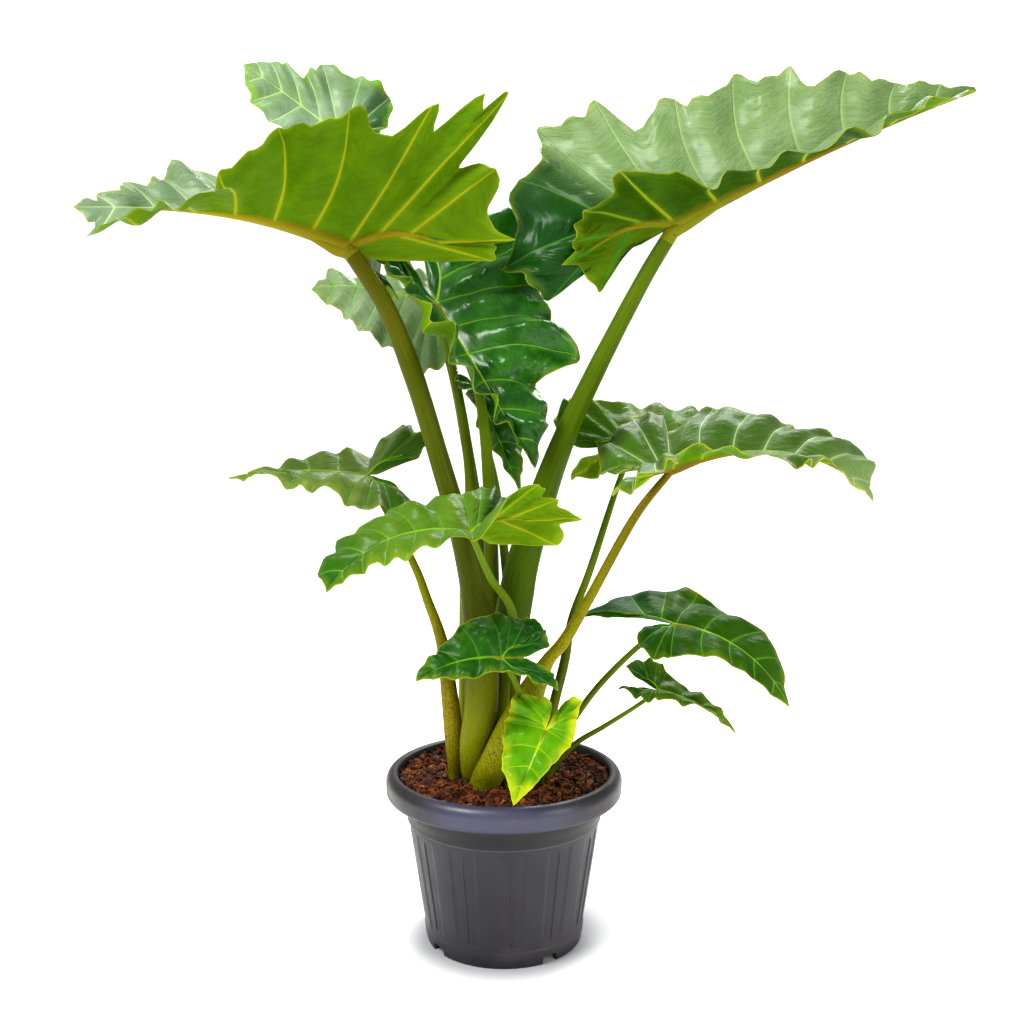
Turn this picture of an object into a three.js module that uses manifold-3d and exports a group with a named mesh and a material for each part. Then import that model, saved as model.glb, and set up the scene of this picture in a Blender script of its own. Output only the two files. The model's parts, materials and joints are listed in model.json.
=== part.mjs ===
// Potted portodora alocasia: a ribbed nursery pot filled with a bark mix, two corms in the mix, and fourteen
// leaves, each a stalk that stands in the mix and a blade that hangs from the stalk's end.
// Millimetres, +Z up, origin under the middle of the pot on the floor, the viewer looks along +Y.

import * as THREE from 'three';
import Module from 'manifold-3d';

const wasm = await Module();
wasm.setup();

const GAP = 0.35;

// The pot. Radii are outer ones, heights are above the floor.
const POT_HEIGHT = 250;
const RIM_RADIUS = 170;
const RIM_DEPTH = 36;
const OPENING_RADIUS = 153;
const COLLAR_TOP_RADIUS = 147;
const COLLAR_BOTTOM = 182;
const COLLAR_BOTTOM_RADIUS = 140;
const WALL_TOP_RADIUS = 138;
const WALL_BOTTOM = 26;
const WALL_BOTTOM_RADIUS = 115;
const FOOT_RADIUS = 114;
const FOOT_INNER_RADIUS = 105;
const DISC_RADIUS = 72;
const RECESS_HEIGHT = 5;
const FLOOR_TOP = 9;
const WALL = 2.8;
const FLUTES = 12;
const FLUTE_HALF_ANGLE = 8.5;
const FLUTE_DEPTH = 1.3;
const FIRST_FLUTE = 5;
const SLOTS = 4;
const FIRST_SLOT = 35;
const SLOT_WIDTH = 24;
const SLOT_HEIGHT = 13;

// The mix and the corms in it.
const SOIL_LEVEL = 237;
const SOIL_ROUGHNESS = 3.5;
const SOIL_SEED = 11;
const SOIL_SIDES = 30;
const SOIL_CLEARANCE = 1.35;
const CORM_TOP = 185;
const CORM_DEPTH = 62;
const CORM_SIDES = 16;
const CORMS = [
  { name: 'corm_main', x: -25, y: -20, radius: 76 },
  { name: 'corm_side', x: 83, y: -17, radius: 28 },
];

// The leaves. Angles are in degrees: azimuth 0 points to +X and 90 away from the viewer.
const BLADE_THICKNESS = 1.2;
const MIDRIB_STEPS = 60;
const LOBE_STEPS = 6;
const STALK_SIDES = 8;
const RIB_SHARE = 1.2;
const LOBE_VEINS = 5;
const COSTA_TIP = 2;
const WAVE_ROOM = 0.2;
const PUCKER_ROOM = 0.12;

const LEAF = { roll: 0, early: 0, scallop: 0.12, wave: 6, pucker: 5, phase: 0, radial: 2, stub: 14 };
const HALF = {
  width: 0.45, lift: 20, curl: 20, taper: 0.86, psi: 82, psiTip: 40,
  lobe: 0.45, lobeRise: 0, costa: 150, back: 1.08,
};

// at: the junction of stalk and blade. length: of the midrib. left and right: the halves, seen from the
// stalk with the upper face on top. lift: how far a half is folded up from level. lobe: the lobe behind the
// junction, as a share of the length. fan and reach: direction and length of the lobe's veins, where the
// even rule isn't close enough. stalk: x, y, z and radius of the points that its middle line passes.
const LEAVES = [
  {
    at: [-209, -52, 981], azimuth: 196, rise: 24, droop: 26, early: 0.9, length: 345, veins: 7,
    wave: 7, scallop: 0.13, radial: 3,
    left: {
      width: 0.6, lift: 78, tipLift: -52, curl: 0, taper: 1, psi: 95, psiTip: 55,
      lobe: 0.75, lobeLift: 85, costa: 152,
      fan: [182, 170, 152, 116, 106, 95], reach: [30, 138, 98, 205, 245, 205],
    },
    right: { width: 0.5, lift: 40, tipLift: 62, curl: 10, lobe: 0.32, lobeLift: -20, lobeCurl: 40, costa: 155 },
    stalk: [
      [-44, -58, 238, 20], [-42, -60, 370, 23], [-53, -60, 510, 25], [-86, -60, 663, 19],
      [-125, -56, 810, 14], [-164, -55, 902, 11], [-209, -52, 981, 9],
    ],
  },
  {
    at: [-252, 230, 1171], azimuth: 185, rise: 38, roll: -70, droop: 10, length: 186, veins: 5, wave: 5,
    left: { width: 0.3, lift: 15, lobe: 0.4 },
    right: {
      width: 0.5, lift: 15, psi: 65, psiTip: 35, lobe: 0.35,
      costa: 130, fan: [166, 150, 130, 108, 85, 65], reach: [15, 45, 45, 75, 88, 100],
    },
    stalk: [
      [-54, 4, 238, 12], [-53, 20, 550, 10], [-49, 50, 672, 8], [-79, 110, 835, 6],
      [-123, 170, 931, 5], [-160, 215, 1000, 4.5], [-222, 262, 1105, 4.2], [-252, 230, 1171, 4],
    ],
  },
  {
    at: [231, -20, 1007], azimuth: -2, rise: 29, droop: 8, length: 432, veins: 7, wave: 8, radial: 3, stub: 26,
    left: {
      width: 0.5, lift: 72, tipLift: 66, curl: 0, taper: 0.85, psi: 94, psiTip: 50,
      lobe: 0.58, lobeCurl: 15, costa: 155,
      fan: [172, 168, 155, 115, 110, 94], reach: [50, 177, 105, 165, 212, 212],
    },
    right: {
      width: 0.38, lift: 22, tipLift: -4, curl: 10, psi: 88, psiTip: 50,
      lobe: 0.5, lobeLift: 72, lobeCurl: 0, costa: 175,
      fan: [184, 182, 172, 110, 86, 88], reach: [25, 95, 50, 88, 150, 165],
    },
    stalk: [
      [0, -8, 238, 23], [14, -5, 370, 25], [30, -5, 501, 28], [40, -5, 570, 26],
      [71, -5, 698, 20], [119, -10, 795, 15], [185, -15, 930, 11], [231, -20, 1007, 9],
    ],
  },
  {
    at: [-94, 30, 912], azimuth: -47, rise: -46, roll: 38, droop: 12, length: 285, veins: 6, wave: 7, radial: 3,
    left: {
      width: 0.55, lift: 8, lobe: 0.73, lobeLift: -2, costa: 163, psi: 80, psiTip: 45,
    },
    right: { width: 0.2, lift: 75, tipLift: 60, curl: -10, lobe: 0.4 },
    stalk: [
      [-12, 40, 238, 12], [-17, 35, 492, 11], [-21, 30, 652, 9], [-34, 40, 779, 7],
      [-60, 60, 850, 6], [-94, 30, 912, 5],
    ],
  },
  {
    at: [-117, 200, 917], azimuth: 170, rise: 16, droop: 28, length: 190, veins: 5, stub: 30,
    left: { width: 0.5, lift: -48, tipLift: -40, lobe: 0.4 },
    right: { width: 0.42, lift: 40, lobe: 0.4 },
    stalk: [
      [-38, 34, 238, 11], [-38, 70, 545, 10], [-48, 110, 658, 9], [-79, 160, 812, 6], [-117, 200, 917, 4.5],
    ],
  },
  {
    at: [-198, 60, 668], azimuth: 175, rise: 8, droop: 20, length: 208, veins: 5,
    left: { width: 0.42, lift: -8, tipLift: -2, lobe: 0.5, lobeLift: -18 },
    right: { width: 0.44, lift: 38, tipLift: 10, lobe: 0.55, lobeLift: 58, costa: 138 },
    stalk: [
      [-80, -46, 238, 10], [-68, -40, 337, 9], [-88, -25, 433, 7.5], [-104, -5, 501, 6.5],
      [-133, 15, 561, 5.5], [-198, 60, 668, 4],
    ],
  },
  {
    at: [-42, -155, 616], azimuth: 190, rise: 14, droop: 72, length: 212, veins: 6,
    left: {
      width: 0.36, lift: -5, tipLift: -30, psi: 88, lobe: 0.78, lobeLift: 60, lobeRise: 22, costa: 165, back: 1.1,
    },
    right: { width: 0.4, lift: 38, tipLift: 38, lobe: 0.45, lobeLift: 45, costa: 140 },
    stalk: [[8, -50, 238, 8], [16, -55, 384, 7], [12, -85, 494, 6], [-17, -115, 550, 5], [-42, -155, 616, 4]],
  },
  {
    at: [228, -60, 688], azimuth: -5, rise: 30, droop: 76, length: 292, veins: 7, radial: 3,
    left: { width: 0.46, lift: 40, tipLift: 32, lobe: 0.4, taper: 0.7 },
    right: { width: 0.33, lift: 35, tipLift: -10, lobe: 0.35 },
    stalk: [
      [-6, -88, 238, 17], [-2, -84, 329, 17], [36, -80, 394, 17], [64, -78, 438, 15],
      [87, -75, 472, 11], [139, -70, 555, 7], [177, -66, 623, 6], [228, -60, 688, 5],
    ],
  },
  {
    at: [191, 120, 705], azimuth: 30, rise: 15, droop: 30, length: 220, veins: 5,
    left: { width: 0.5, lift: 45, lobe: 0.5 },
    right: { width: 0.4, lift: 0, lobe: 0.62, lobeLift: -25, lobeRise: -10, costa: 154 },
    stalk: [
      [74, -2, 238, 9], [75, 0, 356, 8], [87, 10, 425, 7], [106, 30, 492, 6],
      [121, 45, 534, 5.5], [163, 90, 637, 4.5], [191, 120, 705, 4],
    ],
  },
  {
    at: [-4, -166, 457], azimuth: 195, rise: 10, droop: 42, length: 118, veins: 4, wave: 3, pucker: 2,
    left: { width: 0.45, lift: -15, lobe: 0.65, lobeLift: -40 },
    right: { width: 0.62, lift: 48, lobe: 0.6, lobeLift: 48, costa: 140 },
    stalk: [[34, -66, 238, 6], [30, -112, 388, 4.5], [5, -150, 441, 4], [-4, -166, 457, 3.5]],
  },
  {
    at: [53, -154, 357], azimuth: -138, rise: -48, roll: -25, droop: 12, length: 112, veins: 4, wave: 3, pucker: 2,
    left: { width: 0.42, lift: 8, lobe: 0.36 },
    right: { width: 0.42, lift: 8, lobe: 0.36 },
    stalk: [[64, -36, 238, 5], [66, -98, 314, 4], [53, -154, 357, 3]],
  },
  {
    at: [244, 0, 461], azimuth: -22, rise: -2, droop: 62, length: 194, veins: 5, wave: 4, pucker: 3, stub: 20,
    left: { width: 0.42, lift: 30, lobe: 0.55, lobeLift: 10, costa: 165 },
    right: { width: 0.42, lift: -18, lobe: 0.4 },
    stalk: [[86, -28, 238, 6], [106, -25, 345, 5], [151, -20, 395, 4.5], [191, -12, 430, 4], [244, 0, 461, 3.5]],
  },
  {
    at: [224, 20, 359], azimuth: -12, rise: -8, droop: 40, length: 130, veins: 4, wave: 3, pucker: 2,
    left: { width: 0.3, lift: 55, lobe: 0.45 },
    right: { width: 0.25, lift: -10, lobe: 0.45 },
    stalk: [[98, -8, 238, 4.5], [112, -5, 291, 4], [139, 0, 312, 3.5], [185, 10, 338, 3], [224, 20, 359, 3]],
  },
  {
    at: [-37, 95, 785], azimuth: -40, rise: -60, roll: 40, droop: 5, length: 160, veins: 4, wave: 4,
    left: { width: 0.4, lift: 10, lobe: 0.4 },
    right: { width: 0.2, lift: 50, lobe: 0.3 },
    stalk: [[22, 34, 238, 8], [6, 60, 489, 7], [-10, 85, 634, 6], [-29, 108, 720, 5], [-37, 95, 785, 4]],
  },
];

const COLOURS = {
  pot: { color: 0x3d3c45, roughness: 0.5, metalness: 0 },
  soil: { color: 0x5a2f1c, roughness: 0.95, metalness: 0 },
  corm: { color: 0x6b4a2c, roughness: 0.85, metalness: 0 },
  stalk: { color: 0x6f7d1f, roughness: 0.5, metalness: 0 },
  blade: { color: 0x2f7d1e, roughness: 0.4, metalness: 0 },
};

const radians = THREE.MathUtils.degToRad;
const mix = THREE.MathUtils.lerp;
const group = new THREE.Group();

function randomFrom(seed) {
  let state = seed;
  return () => {
    state = (state * 1664525 + 1013904223) % 4294967296;
    return state / 4294967296;
  };
}

// A smooth curve through evenly spaced values; u counts them from 0.
function spline(values, u) {
  const last = values.length - 1;
  const i = Math.min(Math.max(Math.floor(u), 0), last - 1);
  const t = u - i;
  const at = (k) => {
    if (k < 0) return 2 * values[0] - values[1];
    if (k > last) return 2 * values[last] - values[last - 1];
    return values[k];
  };
  const [a, b, c, d] = [at(i - 1), at(i), at(i + 1), at(i + 2)];
  const bend = (2 * a - 5 * b + 4 * c - d) * t * t + (3 * b - a - 3 * c + d) * t * t * t;
  return 0.5 * (2 * b + (c - a) * t + bend);
}

function solidOf(points, triangles) {
  return new wasm.Manifold(new wasm.Mesh({
    numProp: 3,
    vertProperties: new Float32Array(points.flatMap((p) => [p.x, p.y, p.z])),
    triVerts: new Uint32Array(triangles.flat()),
  }));
}

// The body itself, without the crumbs that a join of thin folds can leave beside it.
function largestBody(solid) {
  return solid.decompose().sort((a, b) => b.volume() - a.volume())[0];
}

function addPiece(name, solid, look) {
  const mesh = largestBody(solid).getMesh();
  const geometry = new THREE.BufferGeometry();
  geometry.setAttribute('position', new THREE.BufferAttribute(mesh.vertProperties, mesh.numProp));
  geometry.setIndex(new THREE.BufferAttribute(mesh.triVerts, 1));
  geometry.computeVertexNormals();
  const piece = new THREE.Mesh(geometry, new THREE.MeshStandardMaterial(look));
  piece.name = name;
  group.add(piece);
}

// A body of revolution from rings that run from the axis, round the section and back to the axis.
// place(ring, k) gives the point of ring number k's angle; the angle is measured from the front.
function revolve(rings, angles, place) {
  const count = angles.length;
  const points = [new THREE.Vector3(0, 0, rings[0].z)];
  const triangles = [];
  const inner = rings.slice(1, -1);
  inner.forEach((ring) => angles.forEach((angle, k) => points.push(place(ring, k))));
  const end = points.push(new THREE.Vector3(0, 0, rings[rings.length - 1].z)) - 1;
  const at = (j, k) => 1 + j * count + (k % count);
  for (let k = 0; k < count; k += 1) {
    triangles.push([0, at(0, k + 1), at(0, k)]);
    triangles.push([end, at(inner.length - 1, k), at(inner.length - 1, k + 1)]);
    for (let j = 0; j < inner.length - 1; j += 1) {
      triangles.push([at(j, k), at(j, k + 1), at(j + 1, k + 1)]);
      triangles.push([at(j, k), at(j + 1, k + 1), at(j + 1, k)]);
    }
  }
  return solidOf(points, triangles);
}

const onCircle = (radius, angle, z) => (
  new THREE.Vector3(radius * Math.sin(radians(angle)), -radius * Math.cos(radians(angle)), z)
);

// Five angles for each flute: its two edges, the two sides of its bottom and its raised middle.
function fluteAngles() {
  const steps = [
    { offset: -FLUTE_HALF_ANGLE, depth: 0 }, { offset: 1 - FLUTE_HALF_ANGLE, depth: 1 },
    { offset: 0, depth: 0.2 }, { offset: FLUTE_HALF_ANGLE - 1, depth: 1 }, { offset: FLUTE_HALF_ANGLE, depth: 0 },
  ];
  const list = [];
  for (let flute = 0; flute < FLUTES; flute += 1) {
    const middle = FIRST_FLUTE + (360 / FLUTES) * flute;
    steps.forEach((step) => list.push({ angle: middle + step.offset, depth: step.depth * FLUTE_DEPTH }));
  }
  return list;
}

const ROUND = fluteAngles();
const wallSlope = (WALL_TOP_RADIUS - WALL_BOTTOM_RADIUS) / (COLLAR_BOTTOM - WALL_BOTTOM);
const wallRadius = (z) => WALL_BOTTOM_RADIUS + wallSlope * (z - WALL_BOTTOM);
const rimBottom = POT_HEIGHT - RIM_DEPTH;

// The inside of the pot from the opening down to the floor, also the outside of what fills it.
const INSIDE = [
  { r: OPENING_RADIUS - 2, z: POT_HEIGHT - 12 },
  { r: COLLAR_TOP_RADIUS - WALL, z: rimBottom },
  { r: COLLAR_BOTTOM_RADIUS - WALL - 1, z: COLLAR_BOTTOM },
  { r: WALL_BOTTOM_RADIUS - WALL - FLUTE_DEPTH, z: WALL_BOTTOM },
  { r: WALL_BOTTOM_RADIUS - WALL - 3, z: FLOOR_TOP },
];

function buildPot() {
  const rings = [
    { r: 0, z: 0 },
    { r: DISC_RADIUS, z: 0 },
    { r: DISC_RADIUS + 3, z: RECESS_HEIGHT },
    { r: FOOT_INNER_RADIUS - 3, z: RECESS_HEIGHT },
    { r: FOOT_INNER_RADIUS, z: 0 },
    { r: FOOT_RADIUS - 2, z: 0 },
    { r: FOOT_RADIUS + 2, z: WALL_BOTTOM - 2 },
    { r: wallRadius(WALL_BOTTOM), z: WALL_BOTTOM },
    { r: wallRadius(WALL_BOTTOM + 4), z: WALL_BOTTOM + 4, fluted: true },
    { r: wallRadius(COLLAR_BOTTOM - 8), z: COLLAR_BOTTOM - 8, fluted: true },
    { r: wallRadius(COLLAR_BOTTOM - 3), z: COLLAR_BOTTOM - 3 },
    { r: COLLAR_BOTTOM_RADIUS, z: COLLAR_BOTTOM },
    { r: COLLAR_TOP_RADIUS, z: rimBottom - 1 },
    { r: RIM_RADIUS - 6, z: rimBottom },
    { r: RIM_RADIUS - 1, z: rimBottom + 8 },
    { r: RIM_RADIUS, z: rimBottom + 18 },
    { r: RIM_RADIUS - 5, z: POT_HEIGHT - 5 },
    { r: OPENING_RADIUS + 3, z: POT_HEIGHT },
    { r: OPENING_RADIUS, z: POT_HEIGHT - 2 },
    ...INSIDE,
    { r: 0, z: FLOOR_TOP },
  ];
  let pot = revolve(rings, ROUND, (ring, k) => (
    onCircle(ring.r - (ring.fluted ? ROUND[k].depth : 0), ROUND[k].angle, ring.z)
  ));
  for (let slot = 0; slot < SLOTS; slot += 1) {
    pot = pot.subtract(slotCutter(FIRST_SLOT + (360 / SLOTS) * slot));
  }
  return pot;
}

// A drain slot through the foot and the corner of the floor.
function slotCutter(angle) {
  const inner = FOOT_INNER_RADIUS - 6;
  const outer = FOOT_RADIUS + 8;
  const across = onCircle(SLOT_WIDTH / 2, angle + 90, 0);
  const points = [];
  [-1, SLOT_HEIGHT].forEach((z) => {
    [inner, outer].forEach((radius) => {
      points.push(onCircle(radius, angle, z).sub(across), onCircle(radius, angle, z).add(across));
    });
  });
  return solidOf(points, [
    [0, 1, 2], [1, 3, 2], [4, 6, 5], [5, 6, 7], [0, 4, 1], [1, 4, 5],
    [2, 3, 6], [3, 7, 6], [0, 2, 4], [2, 6, 4], [1, 5, 3], [3, 5, 7],
  ]);
}

function buildCorm(corm, inflate) {
  const angles = Array.from({ length: CORM_SIDES }, (_, k) => (360 / CORM_SIDES) * k);
  const low = CORM_TOP - CORM_DEPTH;
  const rings = [
    { r: 0, z: low - inflate },
    { r: corm.radius * 0.45 + inflate, z: low + CORM_DEPTH * 0.05 - inflate },
    { r: corm.radius * 0.9 + inflate, z: low + CORM_DEPTH * 0.4 },
    { r: corm.radius + inflate, z: low + CORM_DEPTH * 0.75 },
    { r: corm.radius * 0.96 + inflate, z: CORM_TOP + inflate },
    { r: 0, z: CORM_TOP + inflate },
  ];
  return revolve(rings, angles, (ring, k) => onCircle(ring.r, angles[k], ring.z)).translate(corm.x, corm.y, 0);
}

// The mix has fewer sides than the pot, so it stays clear of the pot's flat panels by a little more.
function buildSoil(holes) {
  const random = randomFrom(SOIL_SEED);
  const angles = Array.from({ length: SOIL_SIDES }, (_, k) => (360 / SOIL_SIDES) * k);
  const [opening, lip] = INSIDE;
  const edge = SOIL_LEVEL - 5;
  const edgeRadius = mix(lip.r, opening.r, (edge - lip.z) / (opening.z - lip.z));
  const outside = [...INSIDE.slice(1).reverse(), { r: edgeRadius, z: edge }];
  const shares = [0.97, 0.86, 0.73, 0.58, 0.42, 0.22];
  const rings = [
    { r: 0, z: FLOOR_TOP + GAP },
    ...outside.map((ring) => ({ r: ring.r - SOIL_CLEARANCE, z: Math.max(ring.z, FLOOR_TOP + GAP) })),
    ...shares.map((share) => ({ r: (OPENING_RADIUS - 3) * share, z: SOIL_LEVEL, rough: true })),
    { r: 0, z: SOIL_LEVEL },
  ];
  let soil = revolve(rings, angles, (ring, k) => {
    const bump = ring.rough ? (random() * 2 - 1) * SOIL_ROUGHNESS : 0;
    return onCircle(ring.r, angles[k], ring.z + bump);
  });
  holes.forEach((hole) => {
    soil = soil.subtract(hole);
  });
  return soil;
}

// A round bar along a curve given by its points, with flat ends square to the curve.
function bar(samples, sides) {
  const points = [];
  const triangles = [];
  const across = new THREE.Vector3(0, 1, 0);
  samples.forEach(({ point, along, radius }) => {
    across.addScaledVector(along, -across.dot(along)).normalize();
    const other = new THREE.Vector3().crossVectors(along, across);
    for (let k = 0; k < sides; k += 1) {
      const angle = (2 * Math.PI * k) / sides;
      points.push(point.clone()
        .addScaledVector(across, radius * Math.cos(angle))
        .addScaledVector(other, radius * Math.sin(angle)));
    }
  });
  const first = points.push(samples[0].point.clone()) - 1;
  const last = points.push(samples[samples.length - 1].point.clone()) - 1;
  const top = (samples.length - 1) * sides;
  for (let k = 0; k < sides; k += 1) {
    const next = (k + 1) % sides;
    for (let i = 0; i < samples.length - 1; i += 1) {
      const row = i * sides;
      triangles.push([row + k, row + next, row + sides + next]);
      triangles.push([row + k, row + sides + next, row + sides + k]);
    }
    triangles.push([first, next, k], [last, top + k, top + next]);
  }
  return solidOf(points, triangles);
}

// The stalk's middle line: u runs over its points, the first of them just above the corm.
function stalkCurve(leaf) {
  const [x, y, , radius] = leaf.stalk[0];
  const list = [[x, y, CORM_TOP + GAP, radius * 0.94], ...leaf.stalk];
  const value = (u, k) => spline(list.map((entry) => entry[k]), u);
  const point = (u) => new THREE.Vector3(value(u, 0), value(u, 1), value(u, 2));
  const along = (u) => point(u + 0.01).sub(point(u - 0.01)).normalize();
  return { end: list.length - 1, point, along, radius: (u) => value(u, 3) };
}

// Where the blade's stub begins: past the lobes that come close to the stalk.
function stubStart(leaf, curve) {
  const tip = curve.point(curve.end);
  let u = curve.end;
  while (curve.point(u).distanceTo(tip) < leaf.stub) {
    u -= 0.005;
  }
  return u;
}

function buildStalk(leaf, inflate) {
  const curve = stalkCurve(leaf);
  const end = stubStart(leaf, curve);
  const steps = Math.round(curve.end * 2);
  const samples = [];
  for (let i = 0; i <= steps; i += 1) {
    const u = (end * i) / steps;
    const along = i === 0 ? new THREE.Vector3(0, 0, 1) : curve.along(u);
    samples.push({ point: curve.point(u), along, radius: curve.radius(u) + inflate });
  }
  samples[0].point.z -= inflate;
  return bar(samples, STALK_SIDES);
}

const turn = (vector, axis, degrees) => vector.clone().applyAxisAngle(axis, radians(degrees));

// The midrib as a run of frames: the point, the way ahead, the upper side and the left.
function midribFrames(leaf) {
  const [a, e] = [radians(leaf.azimuth), radians(leaf.rise)];
  let ahead = new THREE.Vector3(Math.cos(e) * Math.cos(a), Math.cos(e) * Math.sin(a), Math.sin(e));
  let up = new THREE.Vector3(-Math.sin(e) * Math.cos(a), -Math.sin(e) * Math.sin(a), Math.cos(e));
  up = turn(up, ahead, leaf.roll);
  const point = new THREE.Vector3(...leaf.at);
  const frames = [];
  for (let i = 0; i <= MIDRIB_STEPS; i += 1) {
    const left = new THREE.Vector3().crossVectors(up, ahead);
    frames.push({ point: point.clone(), ahead, up, left });
    const bend = (leaf.droop / MIDRIB_STEPS) * (1 + leaf.early * (1 - (2 * i + 1) / MIDRIB_STEPS));
    point.addScaledVector(ahead, leaf.length / MIDRIB_STEPS);
    ahead = turn(ahead, left, bend);
    up = turn(up, left, bend);
  }
  return (t) => frames[Math.round(t * MIDRIB_STEPS)];
}

function halfOf(leaf, side) {
  const half = { ...HALF, ...(side > 0 ? leaf.left : leaf.right) };
  half.tipLift ??= half.lift;
  half.lobeLift ??= half.lift;
  half.lobeCurl ??= half.curl;
  return half;
}

// Directions and lengths of the lobe's veins, from the edge at the notch to the junction.
function lobeVeins(leaf, half) {
  const lobe = half.lobe * leaf.length;
  const wide = half.width * leaf.length;
  const { costa, psi, back } = half;
  const fan = half.fan ?? [
    mix(costa, 180, 0.75), mix(costa, 180, 0.5), costa,
    mix(costa, psi, 0.5), mix(costa, psi, 0.8), psi,
  ];
  const reach = half.reach ?? [
    0.12 * lobe, 0.48 * lobe, 0.5 * lobe, mix(0.5 * lobe, back * wide, 0.62), back * wide, wide,
  ];
  return { fan, reach };
}

// One vein line of a half: where it starts, its direction, the upper side there, its length and its curl.
// v counts the veins: 0 is the edge at the notch, COSTA_TIP the end of the lobe's own rib, LOBE_VEINS the
// junction, and the last one the tip.
function veinLine(leaf, frames, side, v) {
  const half = halfOf(leaf, side);
  const last = LOBE_VEINS + leaf.veins;
  const plane = (frame, lift, rise) => {
    const sine = Math.sin(radians(rise));
    const ahead = frame.ahead.clone().multiplyScalar(Math.cos(radians(rise))).addScaledVector(frame.up, -sine);
    const out = frame.left.clone().multiplyScalar(side * Math.cos(radians(lift)));
    return { ahead, out: out.addScaledVector(frame.up, Math.sin(radians(lift))) };
  };
  const pointing = ({ ahead, out }, psi) => (
    ahead.clone().multiplyScalar(Math.cos(radians(psi))).addScaledVector(out, Math.sin(radians(psi))).normalize()
  );
  let start;
  let flat;
  let psi;
  let reach;
  let curl;
  if (v >= LOBE_VEINS) {
    const t = (v - LOBE_VEINS) / leaf.veins;
    const frame = frames(t);
    start = frame.point.clone();
    psi = mix(half.psi, half.psiTip, t ** 0.8);
    reach = half.width * leaf.length * (1 - t) ** half.taper;
    curl = half.curl;
    flat = plane(frame, mix(half.lift, half.tipLift, t), 0);
  } else {
    const frame = frames(0);
    const veins = lobeVeins(leaf, half);
    psi = spline(veins.fan, v);
    reach = spline(veins.reach, v);
    const lobeShare = THREE.MathUtils.smoothstep(psi, half.psi, half.costa);
    curl = mix(half.curl, half.lobeCurl, lobeShare) * Math.min(1, v);
    const other = halfOf(leaf, -side);
    const shared = (half.lobeRise + other.lobeRise) / 2;
    const rise = mix(shared, half.lobeRise, THREE.MathUtils.smoothstep(v, 0, 1));
    const alongCosta = v < COSTA_TIP ? v / COSTA_TIP : (LOBE_VEINS - v) / (LOBE_VEINS - COSTA_TIP);
    const costa = pointing(plane(frame, half.lobeLift, half.lobeRise), half.costa);
    start = frame.point.clone().addScaledVector(costa, 0.5 * half.lobe * leaf.length * alongCosta);
    flat = plane(frame, mix(half.lift, half.lobeLift, lobeShare), rise * lobeShare);
  }
  const ray = pointing(flat, psi);
  const up = new THREE.Vector3().crossVectors(flat.ahead, flat.out).multiplyScalar(side);
  up.addScaledVector(ray, -up.dot(ray)).normalize();
  const notch = Math.abs(Math.sin(Math.PI * v)) ** 0.85;
  reach *= 1 - leaf.scallop * notch * Math.min(1, v);
  return { start, ray, up, reach, curl: radians(curl), last };
}

// How far apart the veins run around v at the share s of their length, measured across the vein, which
// limits the folds between them.
function veinRoom(leaf, frames, side, line, v) {
  const [before, after] = [Math.max(0, v - 0.25), Math.min(LOBE_VEINS + leaf.veins, v + 0.25)].map((place) => {
    const near = veinLine(leaf, frames, side, place);
    return { start: near.start, span: near.ray.clone().multiplyScalar(near.reach) };
  });
  const between = after.start.clone().sub(before.start);
  const spread = after.span.clone().sub(before.span);
  return (s) => 2 * between.clone().addScaledVector(spread, s).projectOnPlane(line.ray).length();
}

// A point of the blade: s runs from the rib to the edge. Veins lie low and the strips between them bulge.
function bladePoint(leaf, line, room, side, v, s) {
  const { start, ray, up, reach, curl, last } = line;
  const bent = Math.abs(curl) > 0.001;
  const out = bent ? Math.sin(curl * s) / curl : s;
  const down = bent ? (1 - Math.cos(curl * s)) / curl : 0;
  const upper = up.clone().multiplyScalar(Math.cos(curl * s)).addScaledVector(ray, Math.sin(curl * s));
  const fade = Math.min(1, v) * Math.min(1, (last - v) / 1.5);
  const vary = 1 + 0.45 * Math.sin(2.1 * v + leaf.phase + (side > 0 ? 0 : 2));
  const wave = Math.min(leaf.wave * vary, WAVE_ROOM * room(s));
  const pucker = Math.min(leaf.pucker, PUCKER_ROOM * room(s));
  const ruffle = -wave * Math.cos(2 * Math.PI * v) * s ** 1.6;
  const bulge = pucker * Math.sin(Math.PI * v) ** 2 * Math.sin(Math.PI * s);
  return start.clone()
    .addScaledVector(ray, reach * out)
    .addScaledVector(up, -reach * down)
    .addScaledVector(upper, (ruffle + bulge) * fade);
}

// How far the underside stands out along the midrib and, less, along a lobe's rib.
function ribDepth(leaf, v) {
  const thick = leaf.stalk[leaf.stalk.length - 1][3] * RIB_SHARE;
  if (v <= LOBE_VEINS) return thick * 0.2;
  return thick * 0.7 * (1 - (v - LOBE_VEINS) / leaf.veins);
}

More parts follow.
